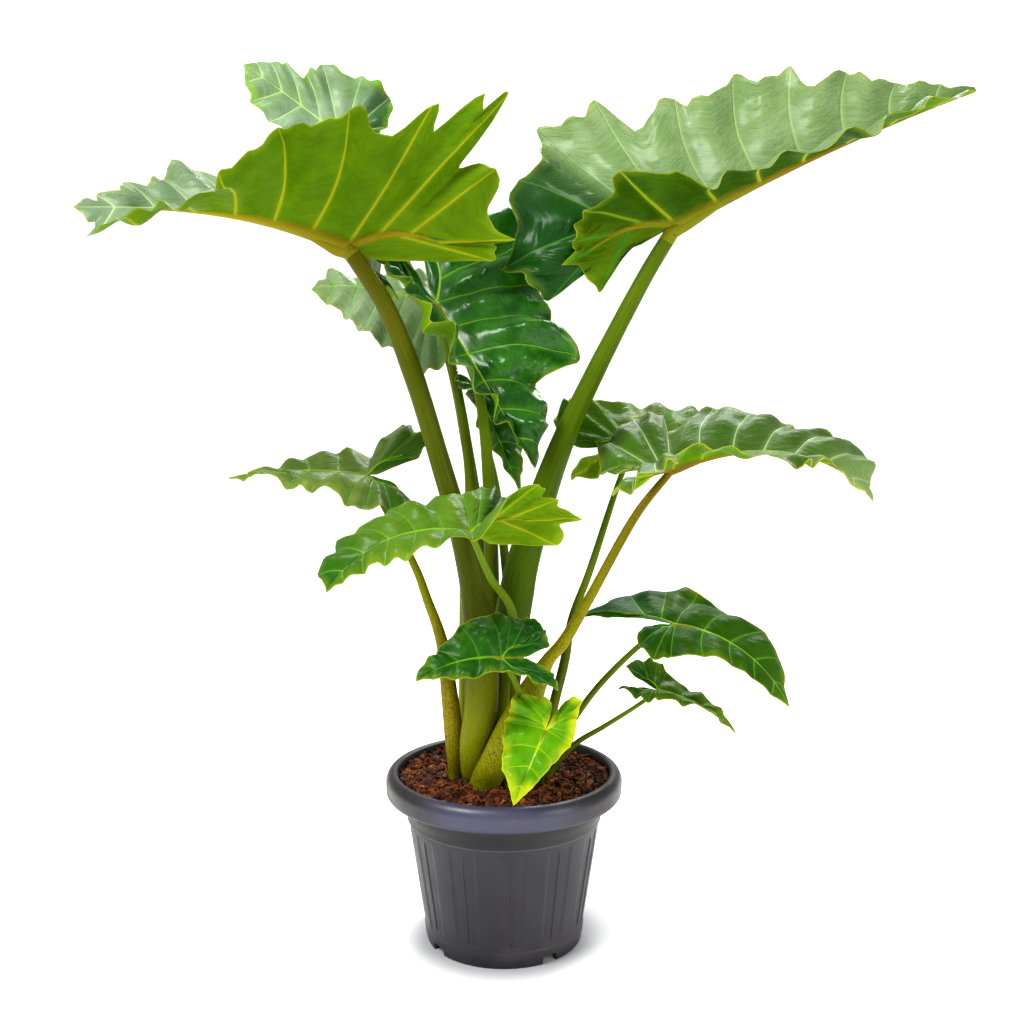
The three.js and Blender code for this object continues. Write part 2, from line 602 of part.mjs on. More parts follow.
// Both halves of a blade as one thin sheet. The steps on the two sides of a lobe's rib meet point by point.
function bladeSheet(leaf, frames) {
  const points = [];
  const known = new Map();
  const triangles = [];
  const ribs = [];
  const indexOf = (point, rib) => {
    const key = point.toArray().map((value) => Math.round(value * 500)).join();
    if (!known.has(key)) {
      known.set(key, points.push(point) - 1);
      ribs.push(rib);
    }
    return known.get(key);
  };
  const steps = [];
  for (let i = 0; i < LOBE_STEPS; i += 1) steps.push((COSTA_TIP * i) / LOBE_STEPS);
  for (let i = 0; i < LOBE_STEPS; i += 1) {
    steps.push(COSTA_TIP + ((LOBE_VEINS - COSTA_TIP) * i) / LOBE_STEPS);
  }
  for (let i = 0; i <= 2 * leaf.veins; i += 1) steps.push(LOBE_VEINS + i / 2);
  [1, -1].forEach((side) => {
    const rows = steps.map((v) => {
      const line = veinLine(leaf, frames, side, v);
      const room = veinRoom(leaf, frames, side, line, v);
      return Array.from({ length: leaf.radial + 1 }, (_, j) => (
        indexOf(bladePoint(leaf, line, room, side, v, j / leaf.radial), j === 0 ? ribDepth(leaf, v) : 0)
      ));
    });
    for (let i = 0; i < rows.length - 1; i += 1) {
      for (let j = 0; j < leaf.radial; j += 1) {
        const [a, b, c, d] = [rows[i][j], rows[i + 1][j], rows[i + 1][j + 1], rows[i][j + 1]];
        [[a, b, c], [a, c, d]].forEach(([p, q, r]) => {
          if (p !== q && q !== r && p !== r) triangles.push(side > 0 ? [p, q, r] : [p, r, q]);
        });
      }
    }
  });
  return { points, triangles, ribs };
}

// A solid on both sides of a sheet. The faces at a point count by their angle there, so that the point of a
// sharp fold moves along the middle between its two flanks.
function thicken({ points, triangles, ribs }, thickness) {
  const normals = points.map(() => new THREE.Vector3());
  const edges = new Map();
  triangles.forEach((corners) => {
    corners.forEach((here, k) => {
      const next = corners[(k + 1) % 3];
      const ahead = points[next].clone().sub(points[here]);
      const back = points[corners[(k + 2) % 3]].clone().sub(points[here]);
      const normal = new THREE.Vector3().crossVectors(ahead, back).normalize();
      normals[here].addScaledVector(normal, ahead.angleTo(back));
      edges.set(`${here},${next}`, [here, next]);
    });
  });
  const count = points.length;
  const shifted = (share, deeper) => points.map((p, k) => (
    p.clone().addScaledVector(normals[k].clone().normalize(), share * thickness - deeper * ribs[k])
  ));
  const faces = triangles.flatMap(([a, b, c]) => [[a, b, c], [a + count, c + count, b + count]]);
  edges.forEach(([p, q]) => {
    if (!edges.has(`${q},${p}`)) {
      faces.push([q, p, p + count], [q, p + count, q + count]);
    }
  });
  return solidOf([...shifted(0.5, 0), ...shifted(-0.5, 1)], faces);
}

// The blade, its underside thick along the ribs, with the stub that stands on the stalk.
function buildBlade(leaf) {
  const frames = midribFrames(leaf);
  const curve = stalkCurve(leaf);
  const from = stubStart(leaf, curve);
  const thick = curve.radius(curve.end);
  const along = curve.along(from);
  const start = curve.point(from).addScaledVector(along, GAP);
  const end = frames(0).point.clone().addScaledVector(frames(0).up, -thick * 0.7);
  const stub = [
    { point: start, along, radius: curve.radius(from) },
    { point: end.addScaledVector(along, 1), along, radius: thick },
  ];
  return thicken(bladeSheet(leaf, frames), BLADE_THICKNESS).add(bar(stub, STALK_SIDES));
}

const leaves = LEAVES.map((leaf) => ({ ...LEAF, ...leaf }));
const holes = [
  ...CORMS.map((corm) => buildCorm(corm, GAP)),
  ...leaves.map((leaf) => buildStalk(leaf, GAP)),
];

addPiece('pot', buildPot(), COLOURS.pot);
addPiece('soil', buildSoil(holes), COLOURS.soil);
CORMS.forEach((corm) => addPiece(corm.name, buildCorm(corm, 0), COLOURS.corm));
leaves.forEach((leaf, i) => {
  const number = String(i + 1).padStart(2, '0');
  addPiece(`petiole_${number}`, buildStalk(leaf, 0), COLOURS.stalk);
  addPiece(`blade_${number}`, buildBlade(leaf), COLOURS.blade);
});

export default group;
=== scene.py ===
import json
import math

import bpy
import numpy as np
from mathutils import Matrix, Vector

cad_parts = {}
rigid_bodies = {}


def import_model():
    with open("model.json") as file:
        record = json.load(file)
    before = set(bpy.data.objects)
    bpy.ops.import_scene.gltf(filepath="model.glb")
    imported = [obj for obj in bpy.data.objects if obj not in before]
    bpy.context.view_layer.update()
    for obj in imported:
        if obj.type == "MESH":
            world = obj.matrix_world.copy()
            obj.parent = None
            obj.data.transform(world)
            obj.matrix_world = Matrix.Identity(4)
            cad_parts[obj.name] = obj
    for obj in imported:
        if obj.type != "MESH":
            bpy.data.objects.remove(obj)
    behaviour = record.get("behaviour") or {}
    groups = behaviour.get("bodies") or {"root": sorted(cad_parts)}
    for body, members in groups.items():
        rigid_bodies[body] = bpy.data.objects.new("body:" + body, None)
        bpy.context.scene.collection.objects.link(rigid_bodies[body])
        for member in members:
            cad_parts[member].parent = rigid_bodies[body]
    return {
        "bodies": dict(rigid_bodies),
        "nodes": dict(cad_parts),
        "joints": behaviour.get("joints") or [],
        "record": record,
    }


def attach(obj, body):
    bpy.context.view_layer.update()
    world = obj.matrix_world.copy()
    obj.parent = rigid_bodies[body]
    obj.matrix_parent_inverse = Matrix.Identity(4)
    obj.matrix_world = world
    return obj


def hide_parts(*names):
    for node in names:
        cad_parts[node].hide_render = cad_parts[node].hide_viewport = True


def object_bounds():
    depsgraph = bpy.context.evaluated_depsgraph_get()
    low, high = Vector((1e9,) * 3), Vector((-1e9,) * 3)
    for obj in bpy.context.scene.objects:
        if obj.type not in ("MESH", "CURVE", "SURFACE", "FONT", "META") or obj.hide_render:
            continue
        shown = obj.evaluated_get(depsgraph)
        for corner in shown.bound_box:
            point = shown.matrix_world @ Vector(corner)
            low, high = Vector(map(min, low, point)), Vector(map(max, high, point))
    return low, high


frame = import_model()

# %% [markdown]
# # A potted aroid house plant, piece by piece
# Fourteen arrow-shaped leaves stand on long fleshy stalks in a ribbed nursery pot full of bark mix. The
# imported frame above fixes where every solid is. This lesson dresses it: finer meshes take the place of
# the plain solids, and each gets a surface made from nodes. Everything below is worked out in
# millimetres, because that is how a gardener would measure it, and turned into metres only when a mesh
# is made.

MM = 0.001
FULL_TURN = 2 * math.pi
CAD_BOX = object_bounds()
LOW_CORNER, HIGH_CORNER = [np.array(corner) / MM for corner in CAD_BOX]


def mix(a, b, share):
    return a + (b - a) * share


def smooth_step(x, low, high):
    t = np.clip((np.asarray(x, float) - low) / (high - low), 0, 1)
    return t * t * (3 - 2 * t)


def unit(vector):
    return vector / np.linalg.norm(vector)


def compass(degrees):
    """Cosine and sine of an angle in degrees."""
    return math.cos(math.radians(degrees)), math.sin(math.radians(degrees))


def paint(red, green, blue):
    """A colour picked on a screen, as the linear values that Blender's sockets hold."""
    channels = [c / 255 for c in (red, green, blue)]
    return [c / 12.92 if c <= 0.04045 else ((c + 0.055) / 1.055) ** 2.4 for c in channels] + [1.0]


def painted(look):
    """The same look with its colours, which are written as three numbers, mixed for the sockets."""
    return {key: paint(*value) if isinstance(value, tuple) else value for key, value in look.items()}


def mesh_object(name, points, faces, values=None, edges=()):
    """A smooth mesh from points in millimetres, with named values stored on its points."""
    mesh = bpy.data.meshes.new(name)
    mesh.from_pydata((np.asarray(points) * MM).tolist(), edges, [tuple(map(int, face)) for face in faces])
    for label, numbers in (values or {}).items():
        numbers = np.asarray(numbers, dtype=np.float32)
        kind, key = ("FLOAT_VECTOR", "vector") if numbers.ndim == 2 else ("FLOAT", "value")
        layer = mesh.attributes.new(label, kind, "POINT")
        layer.data.foreach_set(key, numbers.ravel())
    mesh.polygons.foreach_set("use_smooth", [True] * len(mesh.polygons))
    mesh.update()
    piece = bpy.data.objects.new(name, mesh)
    bpy.context.scene.collection.objects.link(piece)
    return piece


def turned_body(rings, low_centre, high_centre):
    """Points and faces of a closed body made of equal rings of points that stand round the axis."""
    count = len(rings[0])
    points = [point for ring in rings for point in ring] + [low_centre, high_centre]
    low, high = len(points) - 2, len(points) - 1
    faces = []
    for k in range(len(rings)):
        here, after = k * count, (k + 1) % len(rings) * count
        faces.append([low, after, here])
        faces.append([high, here + count - 1, after + count - 1])
        for j in range(count - 1):
            faces.append([here + j, after + j, after + j + 1, here + j + 1])
    return np.array(points, float), faces


def finish_piece(piece, node, material=None):
    """The last steps for every piece: its material, its body and the solid it stands for."""
    if material is not None:
        piece.data.materials.clear()
        piece.data.materials.append(material)
    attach(piece, "root")
    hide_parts(node)


print("CAD box in mm:", LOW_CORNER.round(1).tolist(), HIGH_CORNER.round(1).tolist())

# %% [markdown]
# ## The camera
# The plant was photographed from about 1.75 m away with the camera a little over the middle of the
# leaves and tilted down by seven and a half degrees. The ellipses of the pot's rim and foot give those
# numbers: they are as flat as such a height and distance make them. The lens follows from how fast the
# pot narrows with distance.

# %% Camera
CAMERA_PLACE = (11.5, -1748.0, 855.0)
CAMERA_TILT = 7.6
FOCAL_PIXELS = 1257.0
FRAME_PIXELS = 1024.0
SENSOR_WIDTH = 36.0

camera_data = bpy.data.cameras.new("view")
camera_data.sensor_fit = "HORIZONTAL"
camera_data.sensor_width = SENSOR_WIDTH
camera_data.lens = FOCAL_PIXELS / FRAME_PIXELS * SENSOR_WIDTH
camera = bpy.data.objects.new("view", camera_data)
camera.location = [value * MM for value in CAMERA_PLACE]
camera.rotation_euler = (math.radians(90 - CAMERA_TILT), 0, 0)
bpy.context.scene.collection.objects.link(camera)
bpy.context.scene.camera = camera
print("lens", round(camera_data.lens, 2), "mm")

# %% [markdown]
# ## Node helpers
# Materials and Geometry Nodes are both trees of nodes. A few short helpers keep the lesson readable:
# one fills a node's inputs, with a number or with a link, one adds a node and hands on what comes out
# of it, and one starts a group with named inputs and outputs. A socket knows its tree, so the helpers
# for sums and blends ask it where to add their node.

# %% Node helpers
GEOMETRY = "NodeSocketGeometry"
VECTOR = "NodeSocketVector"
SOCKET_KINDS = {float: "NodeSocketFloat", int: "NodeSocketInt"}


def fill(node, inputs):
    for key, value in inputs.items():
        if isinstance(value, bpy.types.NodeSocket):
            node.id_data.links.new(value, node.inputs[key])
        else:
            node.inputs[key].default_value = value


def add(tree, kind, inputs=None, output=0, **settings):
    """A new node's output: the first one, or the one with the given name or place."""
    node = tree.nodes.new(kind)
    for key, value in settings.items():
        setattr(node, key, value)
    fill(node, inputs or {})
    return node.outputs[output]


def tree_of(values):
    """The tree that the sockets among some values belong to."""
    return next(value.id_data for value in values if isinstance(value, bpy.types.NodeSocket))


def maths(operation, *values):
    return add(tree_of(values), "ShaderNodeMath", dict(enumerate(values)), operation=operation)


def times(first, second):
    return maths("MULTIPLY", first, second)


def plus(first, second):
    return maths("ADD", first, second)


def minus(first, second):
    return maths("SUBTRACT", first, second)


def vector_maths(operation, inputs, output=0):
    return add(tree_of(inputs.values()), "ShaderNodeVectorMath", inputs, output, operation=operation)


def ramp(value, low, high, to_low=0.0, to_high=1.0):
    """A soft step from to_low at low to to_high at high."""
    inputs = {"Value": value, "From Min": low, "From Max": high, "To Min": to_low, "To Max": to_high}
    return add(value.id_data, "ShaderNodeMapRange", inputs, interpolation_type="SMOOTHSTEP")


def band(value, low, high):
    """One between the pairs low and high, zero outside them, with soft steps inside each pair."""
    return times(ramp(value, *low), ramp(value, *high, 1.0, 0.0))


def blend(share, first, second):
    inputs = {0: share, 6: first, 7: second}
    return add(tree_of(inputs.values()), "ShaderNodeMix", inputs, 2, data_type="RGBA")


def stored(tree, label, output="Fac"):
    return add(tree, "ShaderNodeAttribute", None, output, attribute_name=label)


def object_place(tree):
    return add(tree, "ShaderNodeTexCoord", None, "Object")


def axis_of(vector, axis):
    return add(vector.id_data, "ShaderNodeSeparateXYZ", {0: vector}, axis)


def noise(place, scale, output=0, **inputs):
    return add(place.id_data, "ShaderNodeTexNoise", {"Vector": place, "Scale": scale, **inputs}, output)


def start_group(name, kind, inputs, outputs, output_kind="NodeSocketFloat"):
    """A new group. Each input is told by its default value, or by its kind of socket if it has none."""
    tree = bpy.data.node_groups.new(name, kind)
    for label, value in inputs.items():
        bare = isinstance(value, str)
        socket_kind = value if bare else SOCKET_KINDS[type(value)]
        made = tree.interface.new_socket(label, in_out="INPUT", socket_type=socket_kind)
        if not bare:
            made.default_value = value
    for label in outputs:
        tree.interface.new_socket(label, in_out="OUTPUT", socket_type=output_kind)
    return tree, tree.nodes.new("NodeGroupInput").outputs, tree.nodes.new("NodeGroupOutput")


def shader_group(name, inputs, outputs):
    return start_group(name, "ShaderNodeTree", inputs, outputs)


def geometry_group(name, inputs):
    every = {"Geometry": GEOMETRY, **inputs, "Material": "NodeSocketMaterial"}
    return start_group(name, "GeometryNodeTree", every, ["Geometry"], GEOMETRY)


def place_group(tree, group, values):
    node = tree.nodes.new("ShaderNodeGroup")
    node.node_tree = group
    fill(node, values)
    return node.outputs


def join(tree, *parts):
    node = tree.nodes.new("GeometryNodeJoinGeometry")
    for part in parts:
        tree.links.new(part, node.inputs[0])
    return node.outputs[0]


def new_material(name):
    material = bpy.data.materials.new(name)
    material.use_nodes = True
    tree = material.node_tree
    return material, tree, tree.nodes["Principled BSDF"]


def wire_shader(shader, colour, rough, relief, strength, depth_mm, others=None):
    """Link colour, roughness and relief to the shader, and give its other inputs their values."""
    bump = {"Strength": strength, "Distance": depth_mm * MM, "Height": relief}
    bump = add(shader.id_data, "ShaderNodeBump", bump)
    fill(shader, {"Base Color": colour, "Roughness": rough, "Normal": bump, **(others or {})})


def grow(piece, tree, values):
    """Run a Geometry Nodes tree on a piece once and keep the plain mesh that comes out."""
    modifier = piece.modifiers.new(tree.name, "NODES")
    modifier.node_group = tree
    for item in tree.interface.items_tree:
        if item.in_out == "INPUT" and item.name in values:
            modifier[item.identifier] = values[item.name]
    keep_result(piece)


def keep_result(piece):
    """Let the mesh that a piece's modifiers make take the place of its own."""
    depsgraph = bpy.context.evaluated_depsgraph_get()
    mesh = bpy.data.meshes.new_from_object(
        piece.evaluated_get(depsgraph), preserve_all_data_layers=True, depsgraph=depsgraph
    )
    piece.modifiers.clear()
    piece.data = mesh


print("helpers ready")

# %% [markdown]
# ## Effects that several materials share
# Natural surfaces are never one colour. Four small groups make the changes: blotches of two sizes for
# living tissue, flecks that are stretched along a stalk, veins that follow the numbers stored on a
# blade, and a thin film of dried splashes for the pot. Each is built once and placed in the materials
# with its own numbers.

# %% Shared shader groups


def scale_for(size_mm):
    """The texture scale that makes marks of a size, for a place told in metres."""
    return maths("DIVIDE", 1.0 / MM, size_mm)


tissue, given, result = shader_group(
    "tissue", {"Blotch size mm": 60.0, "Grain size mm": 6.0}, ["Blotch", "Grain"]
)
where = object_place(tissue)
for label in ("Blotch", "Grain"):
    cloud = noise(where, scale_for(given[f"{label} size mm"]), Detail=4.0, Roughness=0.55)
    fill(result, {label: ramp(cloud, 0.36, 0.64)})

STREAK_SQUEEZE = (0.45, 0.45, 0.03)
flecks, given, result = shader_group(
    "flecks", {"Place": VECTOR, "Fleck size mm": 2.0, "Amount": 0.5}, ["Flecks", "Streaks"]
)
scale = maths("DIVIDE", 1.0, given["Fleck size mm"])
spots = noise(given["Place"], scale, Detail=3.0, Roughness=0.6)
threshold = minus(0.78, times(given["Amount"], 0.32))
squeezed = vector_maths("MULTIPLY", {0: given["Place"], 1: STREAK_SQUEEZE})
bands = noise(squeezed, 1.0, Detail=4.0)
fill(result, {
    "Flecks": ramp(spots, threshold, plus(threshold, 0.09)),
    "Streaks": ramp(bands, 0.35, 0.65),
})

veins, given, result = shader_group(
    "veins",
    {"Sharpness": 0.3, "Net size mm": 8.0, "Above": 2.0},
    ["Rib", "Vein", "Edge", "Ripple", "Crease"],
)
inner = minus(1.0, given["Sharpness"])
outer = plus(1.0, given["Sharpness"])
narrow = ramp(stored(veins, "under"), 0.0, 1.0, given["Above"], 1.0)
for label in ("Rib", "Vein"):
    away = times(stored(veins, label.lower()), narrow)
    fill(result, {label: ramp(away, inner, outer, 1.0, 0.0)})
fill(result, {"Edge": ramp(stored(veins, "edge"), 0.6, 2.6, 1.0, 0.0)})
scale = maths("DIVIDE", 1.0, given["Net size mm"])
for label, stretch in (("Ripple", (1.0, 0.28, 1.0)), ("Crease", (3.0, 0.9, 1.0))):
    lying = vector_maths("MULTIPLY", {0: stored(veins, "weave", "Vector"), 1: stretch})
    cloth = noise(lying, scale, Detail=3.0, Roughness=0.5, Distortion=0.6)
    fill(result, {label: cloth})

splashes, given, result = shader_group(
    "splashes", {"Spot size mm": 5.0, "Amount": 0.3}, ["Spots", "Film"]
)
where = object_place(splashes)
scale = scale_for(given["Spot size mm"])
dots = add(splashes, "ShaderNodeTexVoronoi", {"Vector": where, "Scale": scale, "Randomness": 1.0})
rare = noise(where, 45.0, Detail=2.0)
size = times(given["Amount"], ramp(rare, 0.5, 0.75))
film = noise(where, 14.0, Detail=6.0, Roughness=0.7)
fill(result, {
    "Spots": ramp(minus(dots, size), -0.08, 0.02, 1.0, 0.0),
    "Film": ramp(film, 0.4, 0.7),
})
print("shared groups:", tissue.name, flecks.name, veins.name, splashes.name)

# %% [markdown]
# ## The leaves as numbers
# The plant has fourteen leaves, and the frame's plain blades follow the same rule, so the fine ones
# fall on them. A leaf is told by where its stalk meets the blade, by which way the midrib sets off
# (azimuth 0 is to the right, 90 away from the viewer), by how far it droops, and by its two halves:
# width and lobe as shares of the midrib's length, lift as the angle that the half is folded up, and the
# angles from the midrib at which its veins and the lobe's own rib set off. Some halves have a fan and
# a reach of their own, the angles and lengths of their lobe's veins, which were measured. A
# stalk is a path of points, each with its radius.

# %% Leaf table
LEAF_DEFAULTS = dict(
    roll=0, early=0, scallop=.12, wave=6, pucker=5, rumple=1, wrinkle=.7, lobe_wrinkle=1, phase=0, stub=14
)
HALF_DEFAULTS = dict(
    width=.45, lift=20, curl=20, taper=.86, angle=82, tip_angle=40, lobe=.45, lobe_rise=0, rib_angle=150
)
LEAVES = [
    dict(
        at=[-209, -52, 981], azimuth=196, rise=24, droop=26, early=.9, length=345, veins=7, wave=7,
        scallop=.18, wrinkle=.8,
        left=dict(
            width=.6, lift=78, tip_lift=-58, curl=0, taper=1, angle=97, tip_angle=55, lobe=.75,
            lobe_lift=85, rib_angle=152, fan=[182, 170, 152, 118, 108, 97],
            reach=[30, 138, 98, 152, 250, 207], edge=[1, 1.05, 1.1, 1.02, .92, 1.5, 2.3, 1],
            bites=[
                (4.18, .12, .07), (4.36, -.1, .1), (4.66, .14, .14), (3.55, .22, .2), (9.6, .2, .12),
                (10.5, .3, .12), (11.2, .35, .1)
            ]
        ),
        right=dict(
            width=.5, lift=40, tip_lift=62, curl=10, lobe=.32, lobe_lift=-20, lobe_curl=40, rib_angle=155,
            bites=[(9.6, .2, .14), (10.5, .3, .12), (11.2, .35, .1)]
        ),
        stalk=[
            [-49, -28, 238, 8], [-47, -34, 258, 14], [-42, -46, 305, 20], [-31, -56, 367, 24],
            [-33, -60, 470, 22.5], [-46, -60, 560, 19], [-75, -60, 663, 14], [-119, -56, 810, 13.5],
            [-155, -55, 902, 12.5], [-193, -53, 963, 11.5], [-209, -52, 981, 10.5]
        ],
    ),
    dict(
        at=[-252, 230, 1171], azimuth=185, rise=38, roll=-70, droop=10, length=178, scallop=.09, veins=5,
        wave=5,
        left=dict(width=.42, lift=8, lobe=.4, edge=[1, 1, 1.15, 1.5, 1.6, 1]),
        right=dict(
            width=.5, lift=15, angle=40, tip_angle=28, lobe=.35, rib_angle=130,
            fan=[166, 150, 130, 98, 68, 40], reach=[15, 45, 45, 88, 100, 130],
            edge=[1.4, 1.15, 1.25, 1.45, 1.6, 1], bites=[(6.35, .22, .3)]
        ),
        stalk=[
            [-54, 4, 238, 12], [-53, 20, 550, 10], [-49, 50, 672, 8], [-79, 110, 835, 6],
            [-123, 170, 931, 5], [-160, 215, 1000, 4.5], [-222, 262, 1105, 4.2], [-252, 230, 1171, 4]
        ],
    ),
    dict(
        at=[233, -20, 1015], azimuth=-2, rise=27.5, droop=8, length=432, veins=7, wave=8, stub=26,
        scallop=.15, wrinkle=1.3, lobe_wrinkle=2.2,
        left=dict(
            width=.5, lift=72, tip_lift=66, curl=0, taper=.85, angle=94, tip_angle=50, lobe=.58,
            lobe_curl=15,
            rib_angle=155, fan=[182, 196, 173, 124, 111, 94], reach=[55, 156, 123, 168, 205, 212],
            edge=[1, .93, 1, 1.04, 1.08, .96, .85, 1],
            bites=[(5.3, .1, .12), (6.15, .06, .1), (8.4, .05, .12), (9.45, .08, .12)]
        ),
        right=dict(
            width=.38, lifts=[55, 36, 20, 15, 10, 5, 1, -4], curl=10, angle=110, tip_angle=50, lobe=.57,
            lobe_lift=72,
            lobe_curl=0, rib_angle=169, fan=[177, 218, 178, 162, 134, 110],
            reach=[70, 98, 42, 62, 100, 131],
            edge=[.8, .55, .55, .78, 1, 1.1, 1.2, 1]
        ),
        stalk=[
            [-12, -8, 238, 22], [0, -5, 370, 25], [16, -5, 490, 26], [34, -5, 578, 22], [73, -5, 698, 17],
            [115, -10, 795, 13.5], [186, -15, 935, 11], [233, -20, 1015, 10]
        ],
    ),
    dict(
        at=[-94, 30, 912], azimuth=-47, rise=-46, roll=38, droop=12, length=285, veins=6, wave=13,
        scallop=.05, pucker=8, rumple=1.5, wrinkle=2.4,
        left=dict(
            width=.55, lift=8, curl=28, lobe=.82, lobe_lift=-2, rib_angle=163, angle=76, tip_angle=42,
            edge=[1, 1.1, 1.42, 1.05, 1.05, .95, 1], bites=[(7.75, .2, .3), (9.2, -.08, .3)]
        ),
        right=dict(width=.28, lift=46, tip_lift=40, curl=-45, lobe=.4, edge=[1, 1.4, 1.9, 1.6, 1.1, 1, 1]),
        stalk=[
            [-12, 40, 238, 12], [-17, 35, 492, 11], [-21, 30, 652, 9], [-34, 40, 779, 7],
            [-60, 60, 850, 6],
            [-94, 30, 912, 5]
        ],
    ),
    dict(
        at=[-117, 200, 917], azimuth=170, rise=22, droop=30, length=190, veins=5, stub=30, scallop=.09,
        wave=8,
        left=dict(
            width=.58, lift=-50, tip_lift=-48, lobe=.4, lobe_lift=-58, rib_angle=146, angle=94,
            tip_angle=62,
            edge=[1, 1.05, 1.1, 1.1, 1.2, 1]
        ),
        right=dict(width=.42, lift=36, tip_lift=50, lobe=.4, edge=[1, 1, 1, 1.2, 2.1, 1]),
        stalk=[
            [-38, 34, 238, 11], [-38, 70, 545, 10], [-48, 110, 658, 9], [-79, 160, 812, 6],
            [-117, 200, 917, 4.5]
        ],
    ),
    dict(
        at=[-198, 60, 668], azimuth=175, rise=8, droop=20, length=208, veins=5, scallop=.09, wave=4,
        phase=1,
        left=dict(width=.42, lift=-8, tip_lift=-2, lobe=.5, lobe_lift=-18),
        right=dict(
            width=.44, lift=38, tip_lift=10, lobe=.55, lobe_lift=58, rib_angle=138,
            fan=[170, 159, 138, 116, 96, 82], reach=[14, 55, 57, 66, 118, 62],
            edge=[.68, .78, .85, 1, 1.1, 1]
        ),
        stalk=[
            [-70, -8, 238, 10.5], [-71, -28, 301, 13.5], [-76, -34, 362, 12.5], [-86, -30, 440, 8.5],
            [-107, -18, 500, 6.5], [-130, 0, 554, 5.5], [-198, 60, 668, 4]
        ],
    ),
    dict(
        at=[-42, -155, 616], azimuth=190, rise=14, droop=72, length=212, veins=6, scallop=.09, wave=3.5,
        left=dict(
            width=.36, lift=-5, tip_lift=-30, angle=88, lobe=.74, lobe_lift=82, lobe_rise=20,
            rib_angle=176, full=125,
            fan=[206, 206, 182, 156, 132, 88], reach=[30, 82, 68, 72, 84, 30],
            edge=[.4, .75, 1, 1, 1, 1, 1],
            bites=[(1.6, .22, .2), (2.7, .15, .2), (3.4, .12, .15)]
        ),
        right=dict(
            width=.4, lift=38, lobe_lift=45, rib_angle=140, edge=[1, 1, 1.05, 1.4, 2, 2.3, 1]
        ),
        stalk=[
            [8, -50, 238, 8], [16, -55, 384, 7], [12, -85, 494, 6], [-17, -115, 550, 5],
            [-42, -155, 616, 4]
        ],
    ),
    dict(
        at=[228, -60, 688], azimuth=-5, rise=21, droop=76, early=-.6, length=290, veins=7, scallop=.08,
        wave=4.5,
        left=dict(
            width=.46, lift=40, tip_lift=32, lobe=.4, taper=.7, edge=[.65, 1.2, 1, 1.1, 1.6, 1.75, 1.3, 1]
        ),
        right=dict(
            width=.33, lobe=.35, edge=[.7, .8, 1, 1.3, .9, .6, .8, 1],
            lifts=[24, 32, 5, -5, -3, 28, 10, 0], lobe_lift=12
        ),
        stalk=[
            [-27, -40, 238, 22], [-10, -62, 282, 22], [11, -74, 329, 22], [33, -79, 373, 20],
            [46, -80, 401, 15.5],
            [61, -78, 429, 9.5], [83, -76, 456, 8.5], [115, -74, 511, 7], [177, -66, 623, 6],
            [228, -60, 688, 5]
        ],
    ),
    dict(
        at=[191, 120, 705], azimuth=30, rise=15, droop=30, length=220, veins=5, scallop=.06,
        left=dict(width=.5, lift=45, lobe=.5, edge=[1, 1, 1.1, 1.45, 1.9, 1]),
        right=dict(
            width=.4, lift=0, lobe=.7, lobe_lift=62, lobe_rise=-16, rib_angle=162, full=125,
            fan=[200, 188, 165, 142, 120, 82], reach=[22, 60, 62, 58, 60, 45], edge=[.5, .8, 1, 1, 1, 1]
        ),
        stalk=[
            [52, 8, 238, 9], [69, 4, 333, 8], [87, 10, 406, 7], [98, 20, 466, 6], [124, 36, 533, 5.5],
            [163, 90, 637, 4.5], [191, 120, 705, 4]
        ],
    ),
    dict(
        at=[-2, -166, 454], azimuth=195, rise=9, droop=42, length=117, veins=4, wave=2.5, pucker=4,
        scallop=.07,
        phase=2, wrinkle=1.4, lobe_wrinkle=2,
        left=dict(
            lifts=[-30, -38, -38, -20, -15], lobe=.65, lobe_lift=-40, edge=[.42, .75, .9, 1, 1],
            fan=[186, 182, 162, 150, 120, 82], reach=[35, 57, 50, 28, 18, 22]
        ),
        right=dict(
            width=.62, lifts=[56, 64, 46, 36, 40], lobe=.6, lobe_lift=48, rib_angle=140,
            edge=[.98, .9, .9, .95, 1],
            fan=[172, 162, 137, 117, 102, 82], reach=[35, 69, 55, 63, 63, 71]
        ),
        stalk=[[40, -40, 238, 5.5], [34, -80, 330, 5], [18, -125, 405, 4.2], [-2, -166, 454, 3.5]],
    ),
    dict(
        at=[56, -154, 355], azimuth=-128, rise=-48, roll=-25, droop=12, length=107, veins=4, wave=3.5,
        pucker=2.5, scallop=.05,
        left=dict(
            width=.42, lifts=[-12, -8, -4, 2, 8], lobe=.36, edge=[.87, .87, .85, .9, 1],
            fan=[176, 182, 157, 140, 102, 82], reach=[20, 40, 45, 35, 34, 39]
        ),
        right=dict(
            width=.42, lifts=[0, 12, 22, 18, 8], lobe=.36, edge=[1.33, 1.36, 1.45, 1.2, 1],
            fan=[173, 178, 134, 115, 94, 82], reach=[18, 30, 28, 52, 55, 60]
        ),
        stalk=[[52, -34, 238, 5], [60, -98, 312, 4], [56, -154, 355, 3]],
    ),
    dict(
        at=[244, 0, 461], azimuth=-22, rise=-2, droop=62, length=203, veins=5, wave=1.5, stub=20,
        scallop=.035, phase=3,
        left=dict(
            width=.42, lift=30, lobe=.8, lobe_lift=10, rib_angle=168, edge=[1, 1, 1.2, 1.25, 1.2, 1]
        ),
        right=dict(width=.32, lift=-18, lobe=.26, edge=[1, 1, 1.05, 1.15, 1.25, 1]),
        stalk=[
            [50, -20, 238, 7], [75, -10, 285, 6], [108, 0, 334, 5], [145, 6, 380, 4.5], [200, 6, 434, 4],
            [244, 0, 461, 3.5]
        ],
    ),
    dict(
        at=[224, 20, 359], azimuth=-12, rise=-8, droop=40, length=130, veins=4, wave=3, pucker=2,
        scallop=.05,
        left=dict(width=.3, lift=36, lobe=.5, lobe_lift=50),
